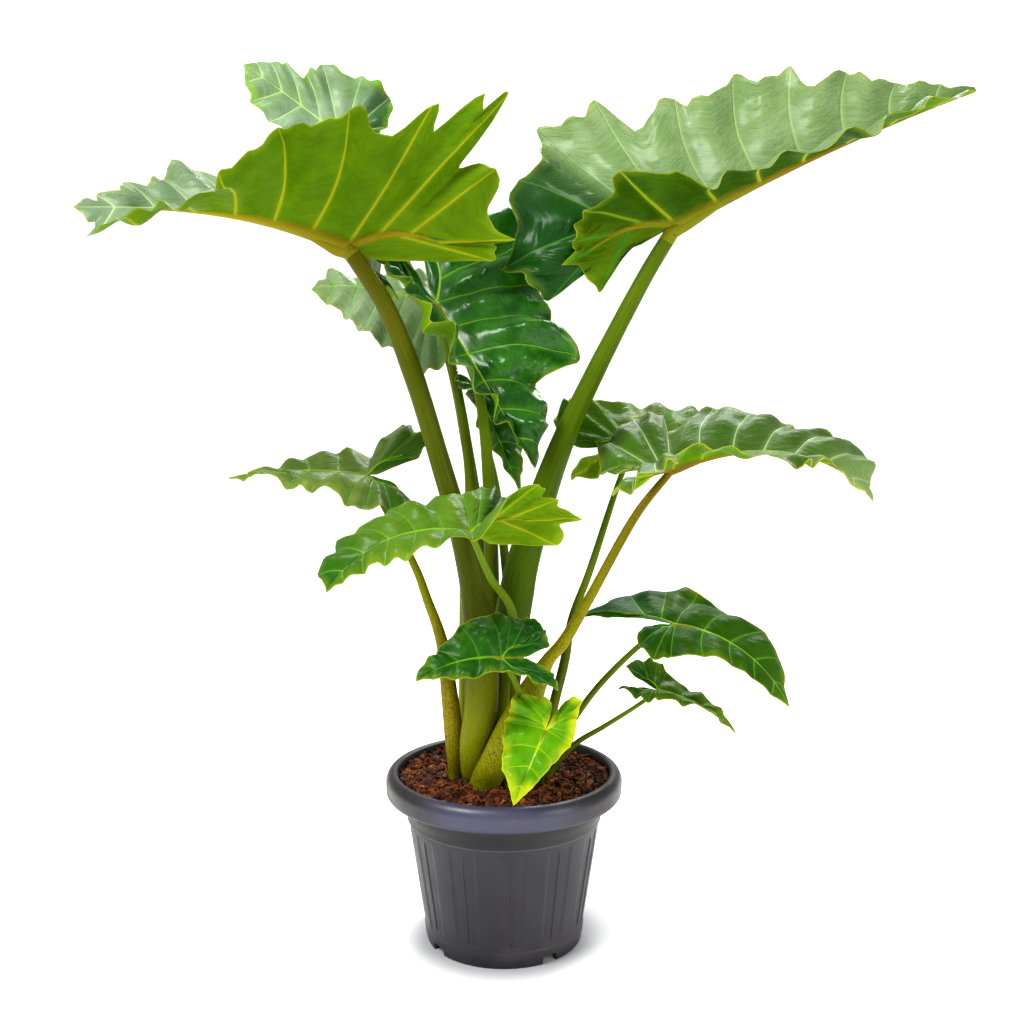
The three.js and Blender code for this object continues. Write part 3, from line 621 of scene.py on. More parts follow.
        right=dict(width=.22, lift=4, lobe=.5),
        stalk=[
            [62, -14, 238, 5], [99, -5, 284, 4.2], [145, 0, 312, 3.6], [190, 12, 337, 3.2],
            [224, 20, 359, 3]
        ],
    ),
    dict(
        at=[-37, 95, 785], azimuth=-40, rise=-60, roll=40, droop=5, length=160, veins=4, wave=4,
        left=dict(width=.4, lift=10, lobe=.4),
        right=dict(width=.2, lift=50, lobe=.3),
        stalk=[
            [22, 34, 238, 8], [6, 60, 489, 7], [-10, 85, 634, 6], [-29, 108, 720, 5], [-37, 95, 785, 4]
        ],
    ),
]
LEAVES = [{**LEAF_DEFAULTS, **leaf} for leaf in LEAVES]
LENGTHS = [leaf["length"] for leaf in LEAVES]
print(len(LEAVES), "leaves, midribs from", min(LENGTHS), "to", max(LENGTHS), "mm")

# %% [markdown]
# ## The rule that shapes a blade
# An arrow-shaped blade is a fan of side veins. Each vein starts on a rib, the midrib or the lobe's own
# rib, and runs to the edge. So the blade is drawn vein by vein: a number v walks round the half from
# the notch (0) over the end of the lobe's rib (2) and the junction (5) to the tip, and a share s goes
# from the rib to the edge. Between two veins the tissue bulges up, at the edge it waves, and the edge
# draws in a little, which gives the scallops that make this plant so recognisable.

# %% Blade geometry
MIDRIB_STEPS = 60
LOBE_VEINS = 5
LOBE_RIB_END = 2
LOBE_RIB_ARCH = 0.12
BACK_WIDTH = 1.08
WAVE_ROOM = 0.2
PUCKER_ROOM = 0.12
VEIN_BOW = 0.07
NIBS = 0.16
NOISE_WAVES = 7
RUMPLES = ((0.42, 5.2, 3), (0.11, 1.9, 8))
RUFFLE_RISE = 1.6
FRILL_SHARE, FRILL_START, FRILLS_PER_VEIN = 0.3, 0.55, 1.7
WRINKLES = ((1, 27), (2, 18), (3, 12.5))


def turned(vector, axis, degrees):
    cosine, sine = compass(degrees)
    return vector * cosine + np.cross(axis, vector) * sine + axis * (axis @ vector) * (1 - cosine)


def spline(values, u):
    values = np.asarray(values, float)
    i = int(min(max(math.floor(u), 0), len(values) - 2))
    t = u - i
    padded = np.concatenate([[2 * values[0] - values[1]], values, [2 * values[-1] - values[-2]]])
    a, b, c, d = padded[i:i + 4]
    bend = (2 * a - 5 * b + 4 * c - d) * t * t + (3 * b - a - 3 * c + d) * t ** 3
    return 0.5 * (2 * b + (c - a) * t + bend)


def midrib_frames(leaf):
    """Rows of point, way ahead, upper side and left, evenly along the midrib."""
    (east, north), (level, climb) = compass(leaf["azimuth"]), compass(leaf["rise"])
    ahead = np.array([level * east, level * north, climb])
    up = turned(np.array([-climb * east, -climb * north, level]), ahead, leaf["roll"])
    point = np.array(leaf["at"], float)
    rows = []
    for i in range(MIDRIB_STEPS + 1):
        left = np.cross(up, ahead)
        rows.append([point.copy(), ahead, up, left])
        bend = leaf["droop"] / MIDRIB_STEPS * (1 + leaf["early"] * (1 - (2 * i + 1) / MIDRIB_STEPS))
        point = point + ahead * leaf["length"] / MIDRIB_STEPS
        ahead, up = turned(ahead, left, bend), turned(up, left, bend)
    return np.array(rows)


def frame_at(frames, t):
    place = min(max(t, 0), 1) * MIDRIB_STEPS
    i = min(int(place), MIDRIB_STEPS - 1)
    return mix(frames[i], frames[i + 1], place - i)


def half_of(leaf, side):
    half = {**HALF_DEFAULTS, **leaf["left" if side > 0 else "right"]}
    half.setdefault("tip_lift", half["lift"])
    half.setdefault("lobe_lift", half["lift"])
    half.setdefault("lobe_curl", half["curl"])
    return half


def lobe_veins(leaf, half):
    """The angles and lengths of the veins round a lobe, for a half that doesn't bring its own."""
    lobe, wide = half["lobe"] * leaf["length"], half["width"] * leaf["length"]
    rib, angle, back = half["rib_angle"], half["angle"], BACK_WIDTH * wide
    fan = [mix(rib, 180, .75), mix(rib, 180, .5), rib, mix(rib, angle, .5), mix(rib, angle, .8), angle]
    reach = [0.12 * lobe, 0.48 * lobe, 0.5 * lobe, mix(0.5 * lobe, back, 0.62), back, wide]
    return half.get("fan", fan), half.get("reach", reach)


def plane_of(frame, side, lift, rise):
    """The ways forward and outward that a half's tissue lies in, folded up by lift and down by rise."""
    point, ahead, up, left = frame
    (level, climb), (outward, upward) = compass(rise), compass(lift)
    return ahead * level - up * climb, left * side * outward + up * upward


def pointing(plane, angle):
    forward, outward = compass(angle)
    return unit(plane[0] * forward + plane[1] * outward)


def scallop_depth(leaf, side, v):
    """How deep the edge draws in between the veins, from 0 at a vein to about 1, no two bays alike."""
    bay = (0.5 - 0.5 * math.cos(FULL_TURN * (v % 1) ** 0.8)) ** 0.75
    uneven = 1 + 0.55 * math.sin(2.3 * math.floor(v) + leaf["phase"] + 1.7 * side)
    nibs = math.sin(FULL_TURN * 1.37 * v + leaf["phase"]) + math.sin(FULL_TURN * 2.31 * v + 2 * side)
    return bay * uneven + NIBS * nibs


def soft_noise(points, size, seed):
    """Values between about -1 and 1 that change smoothly over the given size in millimetres."""
    random = np.random.default_rng(seed)
    total = 0.0
    for _ in range(NOISE_WAVES):
        way = unit(random.normal(size=3)) * FULL_TURN / (size * random.uniform(0.7, 1.5))
        total = total + np.sin(points @ way + random.uniform(0, 6.28))
    return total / 3


def lobe_rib_point(leaf, frames, side, share):
    """A point on the lobe's own rib, which leaves the junction in a slight arch."""
    half = half_of(leaf, side)
    plane = plane_of(frames[0], side, half["lobe_lift"], half["lobe_rise"])
    rib = pointing(plane, half["rib_angle"])
    length = 0.5 * half["lobe"] * leaf["length"]
    across = unit(plane[0] - rib * (plane[0] @ rib))
    return frames[0][0] + rib * length * share + across * LOBE_RIB_ARCH * length * math.sin(math.pi * share)


def vein_line(leaf, frames, side, v):
    """Start, direction, upper side, forward side, length and curl of the vein line v of one half."""
    half = half_of(leaf, side)
    from_junction = v - LOBE_VEINS
    if from_junction >= 0:
        t = from_junction / leaf["veins"]
        frame = frame_at(frames, t)
        start = frame[0]
        angle = mix(half["angle"], half["tip_angle"], t ** 0.8)
        reach = half["width"] * leaf["length"] * (1 - t) ** half["taper"]
        reach *= spline(half["edge"], from_junction) if "edge" in half else 1
        curl = half["curl"]
        lift = mix(half["lift"], half["tip_lift"], t)
        if "lifts" in half:
            lift = spline(half["lifts"], from_junction)
        plane = plane_of(frame, side, lift, 0)
    else:
        fan, lengths = lobe_veins(leaf, half)
        angle, reach = spline(fan, v), spline(lengths, v)
        lobe_share = float(smooth_step(angle, half["angle"], half.get("full", half["rib_angle"])))
        curl = mix(half["curl"], half["lobe_curl"], lobe_share) * min(1, v)
        shared = (half["lobe_rise"] + half_of(leaf, -side)["lobe_rise"]) / 2
        rise = mix(shared, half["lobe_rise"], float(smooth_step(v, 0, 1)))
        along = v / LOBE_RIB_END if v < LOBE_RIB_END else -from_junction / (LOBE_VEINS - LOBE_RIB_END)
        start = lobe_rib_point(leaf, frames, side, along)
        lift = half["lifts"][0] if "lifts" in half else half["lift"]
        plane = plane_of(frames[0], side, mix(lift, half["lobe_lift"], lobe_share), rise * lobe_share)
    ray = pointing(plane, angle)
    up = np.cross(plane[0], plane[1]) * side
    up = unit(up - ray * (up @ ray))
    forward = plane[0] - ray * (plane[0] @ ray)
    reach *= 1 - leaf["scallop"] * scallop_depth(leaf, side, v) * min(1, v)
    for place, depth, width in half.get("bites", ()):
        reach *= 1 - depth * math.exp(-((v - place) / width) ** 2)
    return start, ray, up, forward, reach, math.radians(curl)


def vein_room(leaf, frames, side, ray, v, shares):
    """How far apart the veins run at v, for each share of their length."""
    last = LOBE_VEINS + leaf["veins"]
    near = [vein_line(leaf, frames, side, place) for place in (max(0, v - 0.25), min(last, v + 0.25))]
    starts, spans = [line[0] for line in near], [line[1] * line[4] for line in near]
    gaps = (starts[1] - starts[0]) + np.outer(shares, spans[1] - spans[0])
    gaps -= np.outer(gaps @ ray, ray)
    return 2 * np.linalg.norm(gaps, axis=1)


def vein_height(leaf, side, v, shares, start, ray, reach, room):
    """How far the waves, bulges and fine folds lift the tissue, and how much of it stays near the ends."""
    fade = min(1, v) * min(1, (LOBE_VEINS + leaf["veins"] - v) / 1.5)
    vary = 1 + 0.45 * math.sin(2.1 * v + leaf["phase"] + (0 if side > 0 else 2))
    wave = np.minimum(leaf["wave"] * vary, WAVE_ROOM * room)
    pucker = np.minimum(leaf["pucker"], PUCKER_ROOM * room)
    between = math.sin(math.pi * v) ** 2
    ruffle = -wave * math.cos(FULL_TURN * v) * shares ** RUFFLE_RISE
    bulge = pucker * between * np.sin(math.pi * shares)
    frill = FRILL_SHARE * wave * math.sin(FULL_TURN * FRILLS_PER_VEIN * v + 3 * side)
    frill = frill * smooth_step(shares, FRILL_START, 1) ** 2
    far = reach * shares
    folds = 0
    for k, size in WRINKLES:
        folds = folds + np.sin(6.28 * far / size + 2.5 * math.sin(1.7 * v * k + k) + k * k)
    quilt = leaf["wrinkle"] / 2 * folds * between * smooth_step(far, 2, 25)
    quilt *= 0.6 + 0.6 * soft_noise(start + np.outer(far, ray), 70, 5)
    quilt *= mix(leaf["lobe_wrinkle"], 1, float(smooth_step(v, 4.5, 6)))
    return ruffle + bulge + frill + quilt, fade


def vein_points(leaf, frames, side, v, shares):
    """The points of one vein line at the given shares, its length and the room between the veins."""
    start, ray, up, forward, reach, curl = vein_line(leaf, frames, side, v)
    room = vein_room(leaf, frames, side, ray, v, shares)
    bent = abs(curl) > 0.001
    cosine, sine = np.cos(curl * shares), np.sin(curl * shares)
    out = sine / curl if bent else shares
    down = (1 - cosine) / curl if bent else 0 * shares
    upper = np.outer(cosine, up) + np.outer(sine, ray)
    height, fade = vein_height(leaf, side, v, shares, start, ray, reach, room)
    bow = -VEIN_BOW * reach * np.sin(math.pi * shares) * float(smooth_step(v, 4.6, 6))
    points = start + np.outer(reach * out, ray) - np.outer(reach * down, up) + np.outer(bow, forward)
    size = leaf["length"] ** 0.5
    rumple = 0
    for height_share, spacing, seed in RUMPLES:
        rumple = rumple + height_share * size * soft_noise(points, spacing * size, seed)
    rumple *= leaf["rumple"] * shares ** 0.9
    return points + upper * ((height + rumple) * fade)[:, None], reach, room


# %% [markdown]
# ## From vein lines to a living sheet
# The rows of points are joined into one sheet, with more rows close to each vein so that the ribs can
# stand out. Then the sheet gets its real thickness, about a millimetre. On the upper face the veins are
# shallow grooves; on the lower face the same veins are round ribs, and the midrib is as thick as the
# end of the stalk. How far each point lies from the nearest rib, vein and edge is stored with it, for
# the colours.

# %% Blade sheet
SHARES = np.sort([*np.linspace(0, 1, 31), .006, .014, .023, .05, .98, .99])
VEIN_STEPS = (0, .03, .07, .14, .24, .37, .5, .63, .76, .86, .93, .97)
LOBE_ROWS = sorted(
    {round(k / 36, 4) for k in range(37)}
    | {round(middle + step, 4) for middle in (1 / 3, 1 / 2, 2 / 3) for step in (-.025, -.01, 0, .01, .025)}
)
BLADE_THICKNESS = 0.9
STEM_SHARE = 0.6
VALUE_NAMES = (
    "rib", "vein", "edge", "weave x", "weave y", "weave z", "lobe", "along", "share", "rib size", "stem"
)


def row_places(leaf):
    back = [LOBE_RIB_END * c for c in LOBE_ROWS[:-1]]
    front = [LOBE_VEINS - (LOBE_VEINS - LOBE_RIB_END) * c for c in reversed(LOBE_ROWS[1:])]
    main = [LOBE_VEINS + k + step for k in range(leaf["veins"]) for step in VEIN_STEPS]
    return back + front + main + [LOBE_VEINS + leaf["veins"]]


def distance_to_line(points, line):
    """For each point, how far the nearest spot of a line of points is, and its share of the line."""
    best = np.full(len(points), np.inf)
    which = np.zeros(len(points))
    for k in range(len(line) - 1):
        span = line[k + 1] - line[k]
        share = np.clip(((points - line[k]) @ span) / max(span @ span, 1e-9), 0, 1)
        gap = np.linalg.norm(points - line[k] - share[:, None] * span, axis=1)
        nearer = gap < best
        best[nearer] = gap[nearer]
        which[nearer] = k + share[nearer]
    return best, which / (len(line) - 1)


def rib_distance(row, midrib, lobe_rib, thick):
    """How far each point is from the nearer rib, in half widths of that rib, and that half width."""
    gap, where = distance_to_line(row, midrib)
    size = thick * (1 - where) ** 1.5 + 0.7
    lobe_gap, where = distance_to_line(row, lobe_rib)
    lobe_size = thick * 0.62 * (1 - where) ** 0.8 + 0.5
    on_lobe = lobe_gap / lobe_size < gap / size
    size = np.where(on_lobe, lobe_size, size)
    return np.where(on_lobe, lobe_gap, gap) / size, size


def blade_sheet(leaf, frames):
    last = LOBE_VEINS + leaf["veins"]
    thick = leaf["stalk"][-1][3] * 1.05
    vein_width = 0.5 + leaf["length"] / 210
    points, faces, values, known = [], [], [], {}
    midrib = frames[::3, 0]
    for side in (1, -1):
        lobe_rib = np.array([lobe_rib_point(leaf, frames, side, share) for share in np.linspace(0, 1, 13)])
        rays = {k: vein_line(leaf, frames, side, k)[1] for k in range(1, last)}
        vein_rows = {k: vein_points(leaf, frames, side, k, SHARES)[0] for k in range(last)}
        rows = []
        walked = np.zeros(len(SHARES))
        before = None
        for v in row_places(leaf):
            row, reach, room = vein_points(leaf, frames, side, v, SHARES)
            walked = walked + (np.linalg.norm(row - before, axis=1) if before is not None else 0)
            before = row
            nearest = min(max(round(v), 1), last - 1)
            gap = row - vein_rows[nearest]
            gap -= np.outer(gap @ rays[nearest], rays[nearest])
            from_vein = np.linalg.norm(gap, axis=1)
            vein_gap = from_vein / (vein_width * (1 - 0.78 * SHARES) + 0.25)
            rib, rib_size = rib_distance(row, midrib, lobe_rib, thick)
            stem = 1 - smooth_step(np.linalg.norm(row - midrib[0], axis=1), 0, STEM_SHARE * leaf["length"])
            edge = (1 - SHARES) * max(reach, 1)
            if v < 1:
                edge = np.minimum(edge, np.linalg.norm(row - vein_rows[0], axis=1))
            lobe = float(smooth_step(LOBE_VEINS + 0.6 - v, 0, 3.2))
            along = max(0.0, (v - LOBE_VEINS) / leaf["veins"])
            ids = []
            for j, share in enumerate(SHARES):
                key = tuple(np.round(row[j] * 200).astype(int)) if j == 0 else (side, v, j)
                if key not in known:
                    known[key] = len(points)
                    points.append(row[j])
                    weave = (share * reach + 0.7 * from_vein[j], walked[j], 400.0 * side)
                    values.append((
                        rib[j], vein_gap[j], edge[j], *weave, lobe, along, share, rib_size[j], stem[j]
                    ))
                ids.append(known[key])
            rows.append(ids)
        for low, high in zip(rows, rows[1:]):
            for j in range(len(SHARES) - 1):
                for face in ([low[j], high[j], high[j + 1]], [low[j], high[j + 1], low[j + 1]]):
                    if len(set(face)) == 3:
                        faces.append(face if side > 0 else face[::-1])
    return np.array(points), faces, dict(zip(VALUE_NAMES, np.array(values).T)), vein_width, thick


def point_normals(points, faces):
    """The sheet's upward direction at each point, from the faces round it weighted by their angles."""
    corners = points[faces]
    facing = np.cross(corners[:, 1] - corners[:, 0], corners[:, 2] - corners[:, 0])
    facing /= np.maximum(np.linalg.norm(facing, axis=1), 1e-9)[:, None]
    normals = np.zeros_like(points)
    for k in range(3):
        after, behind = corners[:, (k + 1) % 3] - corners[:, k], corners[:, k - 1] - corners[:, k]
        sizes = np.maximum(np.linalg.norm(after, axis=1) * np.linalg.norm(behind, axis=1), 1e-9)
        angle = np.arccos(np.clip(np.sum(after * behind, axis=1) / sizes, -1, 1))
        np.add.at(normals, faces[:, k], facing * angle[:, None])
    return normals / np.maximum(np.linalg.norm(normals, axis=1), 1e-9)[:, None]


def blade_solid(points, faces, values, vein_width):
    """Both faces of the blade and its rim, with the ribs below."""
    faces = np.array(faces)
    normals = point_normals(points, faces)
    edges = {(face[k], face[(k + 1) % 3]) for face in faces.tolist() for k in range(3)}
    rib, vein, edge, share = (values[name] for name in ("rib", "vein", "edge", "share"))
    main_rib = np.sqrt(np.clip(1 - rib ** 2, 0, 1)) * values["rib size"] * 0.85
    side_rib = np.cos(np.clip(vein, 0, 1) * math.pi / 2) ** 2 * vein_width * 0.6 * (1 - 0.75 * share)
    groove = np.maximum(np.exp(-vein ** 2) * (1 - share), np.exp(-rib ** 2)) * 0.4
    half_thick = BLADE_THICKNESS / 2 * smooth_step(edge, -1.5, 2.5)
    top = points + normals * (half_thick - groove * smooth_step(edge, 0, 6))[:, None]
    depth = half_thick + np.maximum(main_rib, side_rib * smooth_step(edge, 0, 8))
    low = points - normals * depth[:, None]
    count = len(points)
    solid = faces.tolist() + (faces[:, ::-1] + count).tolist()
    for here, there in sorted(edges):
        if (there, here) not in edges:
            solid.append([there, here, here + count, there + count])
    return np.vstack([top, low]), solid


print("rows across a giant's half:", len(row_places(LEAVES[0])), "with", len(SHARES), "points each")

# %% [markdown]
# ## Stalks
# A leaf stalk of this plant is thick and fleshy. Its lower part is a sheath that once wrapped the next
# leaf, so it is broad and grooved with two thin dry margins, and further up it becomes round and tapers
# evenly. All fourteen follow the same recipe along a path of their own, which is a job for Geometry
# Nodes: the path carries its radius, the side that the groove faces and how far the sheath has faded,
# and one tree makes the skin.

# %% Stalk paths
STALK_FOOT = 185.35
FOOT_TAPER = 0.94


def stalk_table(leaf):
    x, y, z, radius = leaf["stalk"][0]
    return np.array([[x, y, STALK_FOOT, radius * FOOT_TAPER], *leaf["stalk"]], float)


def stub_start(leaf):
    """Where the blade's own piece of stalk begins, counted along the path's points."""
    table = stalk_table(leaf)
    u = len(table) - 1
    tip = table[-1, :3]
    while np.linalg.norm(spline(table, u)[:3] - tip) < leaf["stub"]:
        u -= 0.005
    return u


def stalk_samples(leaf, start, end, count):
    """Points, directions and radii of the stalk's middle line."""
    table = stalk_table(leaf)
    places = np.linspace(start, end, count)
    rows = np.array([spline(table, u) for u in places])
    ways = np.array([unit(spline(table, u + 0.01)[:3] - spline(table, u - 0.01)[:3]) for u in places])
    return rows[:, :3], ways, rows[:, 3]


def tube(points, ways, radii, sides):
    """A round bar with flat ends, for the short pieces of stalk under the blades."""
    across = np.array([0.0, 1.0, 0.0])
    rings = []
    for point, way, radius in zip(points, ways, radii):
        across = unit(across - way * (across @ way))
        other = np.cross(way, across)
        angles = np.arange(sides) * FULL_TURN / sides
        rings.append(point + radius * (np.outer(np.cos(angles), across) + np.outer(np.sin(angles), other)))
    return turned_body(np.swapaxes(rings, 0, 1), points[0], points[-1])


# %% [markdown]
# The skin tree reads the path's stored values. A circle runs along the path; then each point moves out
# or in: two ridges stand either side of a shallow groove where the sheath is open, and a slow swell
# keeps the stalk from looking turned on a lathe. The place of each point on the skin is stored in
# millimetres for the flecks.

# %% Skin tree
RIDGE_ANGLE, RIDGE_SHARPNESS = 0.62, -70.0
GROOVE_SHARPNESS = -3.2

skin, given, result = geometry_group(
    "stalk skin", {"Sides": 28, "Ridge mm": 2.0, "Groove mm": 3.0, "Swell": 0.03}
)


def named(tree, label, kind="FLOAT"):
    return add(tree, "GeometryNodeInputNamedAttribute", {"Name": label}, "Attribute", data_type=kind)


def store(geometry, label, value, kind="FLOAT", domain="POINT"):
    inputs = {"Geometry": geometry, "Name": label, "Value": value}
    node = "GeometryNodeStoreNamedAttribute"
    return add(tree_of([geometry]), node, inputs, data_type=kind, domain=domain)


def shape(kind, geometry, label="Geometry", **inputs):
    """One Geometry Nodes step that takes a geometry and hands it on."""
    values = {key.replace("_", " "): value for key, value in inputs.items()}
    return add(tree_of([geometry]), f"GeometryNode{kind}", {label: geometry, **values})


def circle(tree, points):
    inputs = {"Resolution": points, "Radius": 1.0}
    return add(tree, "GeometryNodeCurvePrimitiveCircle", inputs, mode="RADIUS")


def sweep(path, section, scale):
    return shape("CurveToMesh", path, "Curve", Profile_Curve=section, Scale=scale, Fill_Caps=True)


def bump_round(distance, sharpness):
    """One where the distance is zero, falling off evenly on both sides."""
    return maths("EXPONENT", times(times(distance, distance), sharpness))


path = shape("MeshToCurve", given["Geometry"], "Mesh")
facing = named(skin, "facing", "FLOAT_VECTOR")
path = add(skin, "GeometryNodeSetCurveNormal", {"Curve": path, "Normal": facing}, mode="FREE")
turn = times(add(skin, "GeometryNodeSplineParameter", None, "Factor"), FULL_TURN)
ring = store(circle(skin, given["Sides"]), "turn", turn)
shell = sweep(path, ring, times(named(skin, "thick"), MM))
turn, thick, sheath = named(skin, "turn"), named(skin, "thick"), named(skin, "sheath")
off_groove = maths("ABSOLUTE", minus(turn, math.pi))
ridge = bump_round(minus(off_groove, RIDGE_ANGLE), RIDGE_SHARPNESS)
groove = bump_round(off_groove, GROOVE_SHARPNESS)
lift = minus(times(ridge, given["Ridge mm"]), times(groove, given["Groove mm"]))
cloud = noise(add(skin, "GeometryNodeInputPosition"), 14.0)
swell = times(times(minus(cloud, 0.5), given["Swell"]), thick)
swell = times(swell, ramp(named(skin, "height"), 0.85, 0.98, 1.0, 0.0))
lift = times(plus(times(lift, sheath), swell), MM)
outward = add(skin, "GeometryNodeInputNormal", None, "Normal")
offset = vector_maths("SCALE", {0: outward, "Scale": lift})
shell = shape("SetPosition", shell, Offset=offset)
shell = store(shell, "margin", times(ridge, sheath))
place = add(skin, "ShaderNodeCombineXYZ", {
    0: times(maths("COSINE", turn), thick),
    1: times(maths("SINE", turn), thick),
    2: times(named(skin, "length"), 0.3),
})
shell = store(shell, "skin", place, "FLOAT_VECTOR")
shell = shape("RealizeInstances", shell)
shell = shape("SetShadeSmooth", shell)
fill(result, {"Geometry": shape("SetMaterial", shell, Material=given["Material"])})
print("skin tree:", len(skin.nodes), "nodes")

# %% [markdown]
# ## Finishes of stalks and blades
# A stalk is olive green with a waxy gloss, browner and freckled toward the foot. The freckles are long
# dashes, as the skin stretches while it grows. The dry margin of the sheath is straw brown. A blade has
# two very different faces: above it is dark and shiny, and silvery where the light grazes the wax, a
# sheen that is painted into the colour; below it is painted a lively yellow green, partly its own colour
# and partly painted light that comes through. Ribs and veins are paler than the tissue, and the margin
# is a fine pale line. On some leaves the whole upper face is painted pale grey green as that sheen, and
# painted shade darkens the ripples of the tissue.

# %% Stalk material


def stalk_material(name, foot, top, freckle, amount, turn):
    """A stalk's finish. The foot's colour gives way to the top's from the height turn upwards."""
    material, tree, shader = new_material(name)
    marks = place_group(
        tree, flecks, {"Place": stored(tree, "skin", "Vector"), "Fleck size mm": 0.9, "Amount": amount}
    )
    cloud = place_group(tree, tissue, {"Blotch size mm": 70.0, "Grain size mm": 5.0})
    height = stored(tree, "height")
    colour = blend(ramp(height, turn, 1.0), foot, top)
    darker = blend(0.4, colour, paint(40, 56, 2))
    colour = blend(times(cloud["Blotch"], 0.55), colour, darker)
    colour = blend(ramp(height, 0.12, 0.36, 0.6, 0.0), colour, paint(150, 154, 12))
    light = blend(0.15, colour, paint(150, 160, 40))
    colour = blend(times(marks["Streaks"], 0.5), colour, light)
    strength = ramp(height, 0.1, 0.85, 0.9, 0.35)
    colour = blend(times(marks["Flecks"], strength), colour, freckle)
    colour = blend(ramp(stored(tree, "margin"), 0.3, 0.75), colour, paint(96, 52, 18))
    rough = ramp(cloud["Grain"], 0.2, 0.9, 0.32, 0.52)
    relief = plus(marks["Streaks"], times(marks["Flecks"], 0.5))
    wax = {"Specular IOR Level": 0.06, "Coat Weight": 0.06, "Coat Roughness": 0.25}
    wire_shader(shader, colour, rough, relief, 0.35, 0.6, wax)
    return material


# %% Blade material


def blade_material(name, look):
    material, tree, shader = new_material(name)
    ribs = place_group(tree, veins, {"Sharpness": 0.35, "Net size mm": 8.0, "Above": 1.9})
    cloud = place_group(tree, tissue, {"Blotch size mm": look["blotch"], "Grain size mm": 4.0})
    under, along, lobe = (stored(tree, label) for label in ("under", "along", "lobe"))

    def face_colour(face, rib):
        # On leaves 1, 2, 3, 5 and 8 the look's upper colours carry a painted sheen; the looks table says
        # where.
        colour = blend(times(cloud["Blotch"], 0.8), look[face], look[face + "2"])
        # On leaf 7 the lobe colour is painted shade; on the others it is the lobe's own tone.
        on_lobe = ramp(lobe, 0.35, 1.0, 0.0, look["lobe_share"])
        colour = blend(on_lobe, colour, look["lobe_" + face])
        colour = blend(ramp(along, look["tip_from"], 1.0), colour, look["tip_" + face])
        # Painted shade: the tissue is darkened along the ripple pattern that also shapes the relief, as the
        # shade of its crumples.
        painted_ripple_shade = blend(0.35, colour, [0.0, 0.02, 0.0, 1.0])
        colour = blend(times(ramp(ribs["Ripple"], 0.35, 0.7), 0.4), colour, painted_ripple_shade)
        vein = blend(times(lobe, look["dark_lobe"]), look["vein_" + face], look["lobe_vein"])
        colour = blend(ramp(stored(tree, "vein"), 0.6, 4.0, 0.16, 0.0), colour, vein)
        colour = blend(times(ribs["Vein"], 0.75), colour, vein)
        return blend(ribs["Rib"], colour, rib)

    top = face_colour("top", look["rib_top"])
    low = face_colour("low", blend(stored(tree, "stem"), look["rib_low"], look["stem"]))
    colour = blend(under, top, low)
    # Painted sheen: where the upper face is seen at a grazing angle, its colour is mixed toward a pale grey
    # green that stands in for the bright surround reflected in the wax. The look's pale value sets how
    # much.
    painted_sheen_facing = add(tree, "ShaderNodeLayerWeight", {"Blend": 0.35}, "Facing")
    above = minus(1.0, under)
    pale = times(ramp(painted_sheen_facing, 0.25, 0.95, 0.0, look["pale"]), above)
    colour = blend(pale, colour, paint(160, 185, 140))
    fringe = times(ramp(stored(tree, "edge"), 2.0, 16.0, 1.0, 0.0), cloud["Blotch"])
    for share in (times(fringe, look["fringe"]), times(ribs["Edge"], 0.55)):
        colour = blend(share, colour, look["edge"])
    rough = ramp(under, 0.0, 1.0, 0.38, 0.55)
    rough = plus(rough, ramp(cloud["Grain"], 0.2, 0.9, -0.04, 0.08))
    height = plus(ribs["Ripple"], times(ribs["Crease"], 0.35))
    height = times(height, ramp(stored(tree, "vein"), 0.5, 2.5, 0.3, 1.0))
    height = times(height, ramp(under, 0.0, 1.0, 1.0, 0.35))
    wax = {
        "Coat Weight": times(above, look["coat"]), "Coat Roughness": look["coat_rough"],
        "Specular IOR Level": 0.06,
    }
    wire_shader(shader, colour, rough, height, look["relief"], 3.0, wax)
    return material
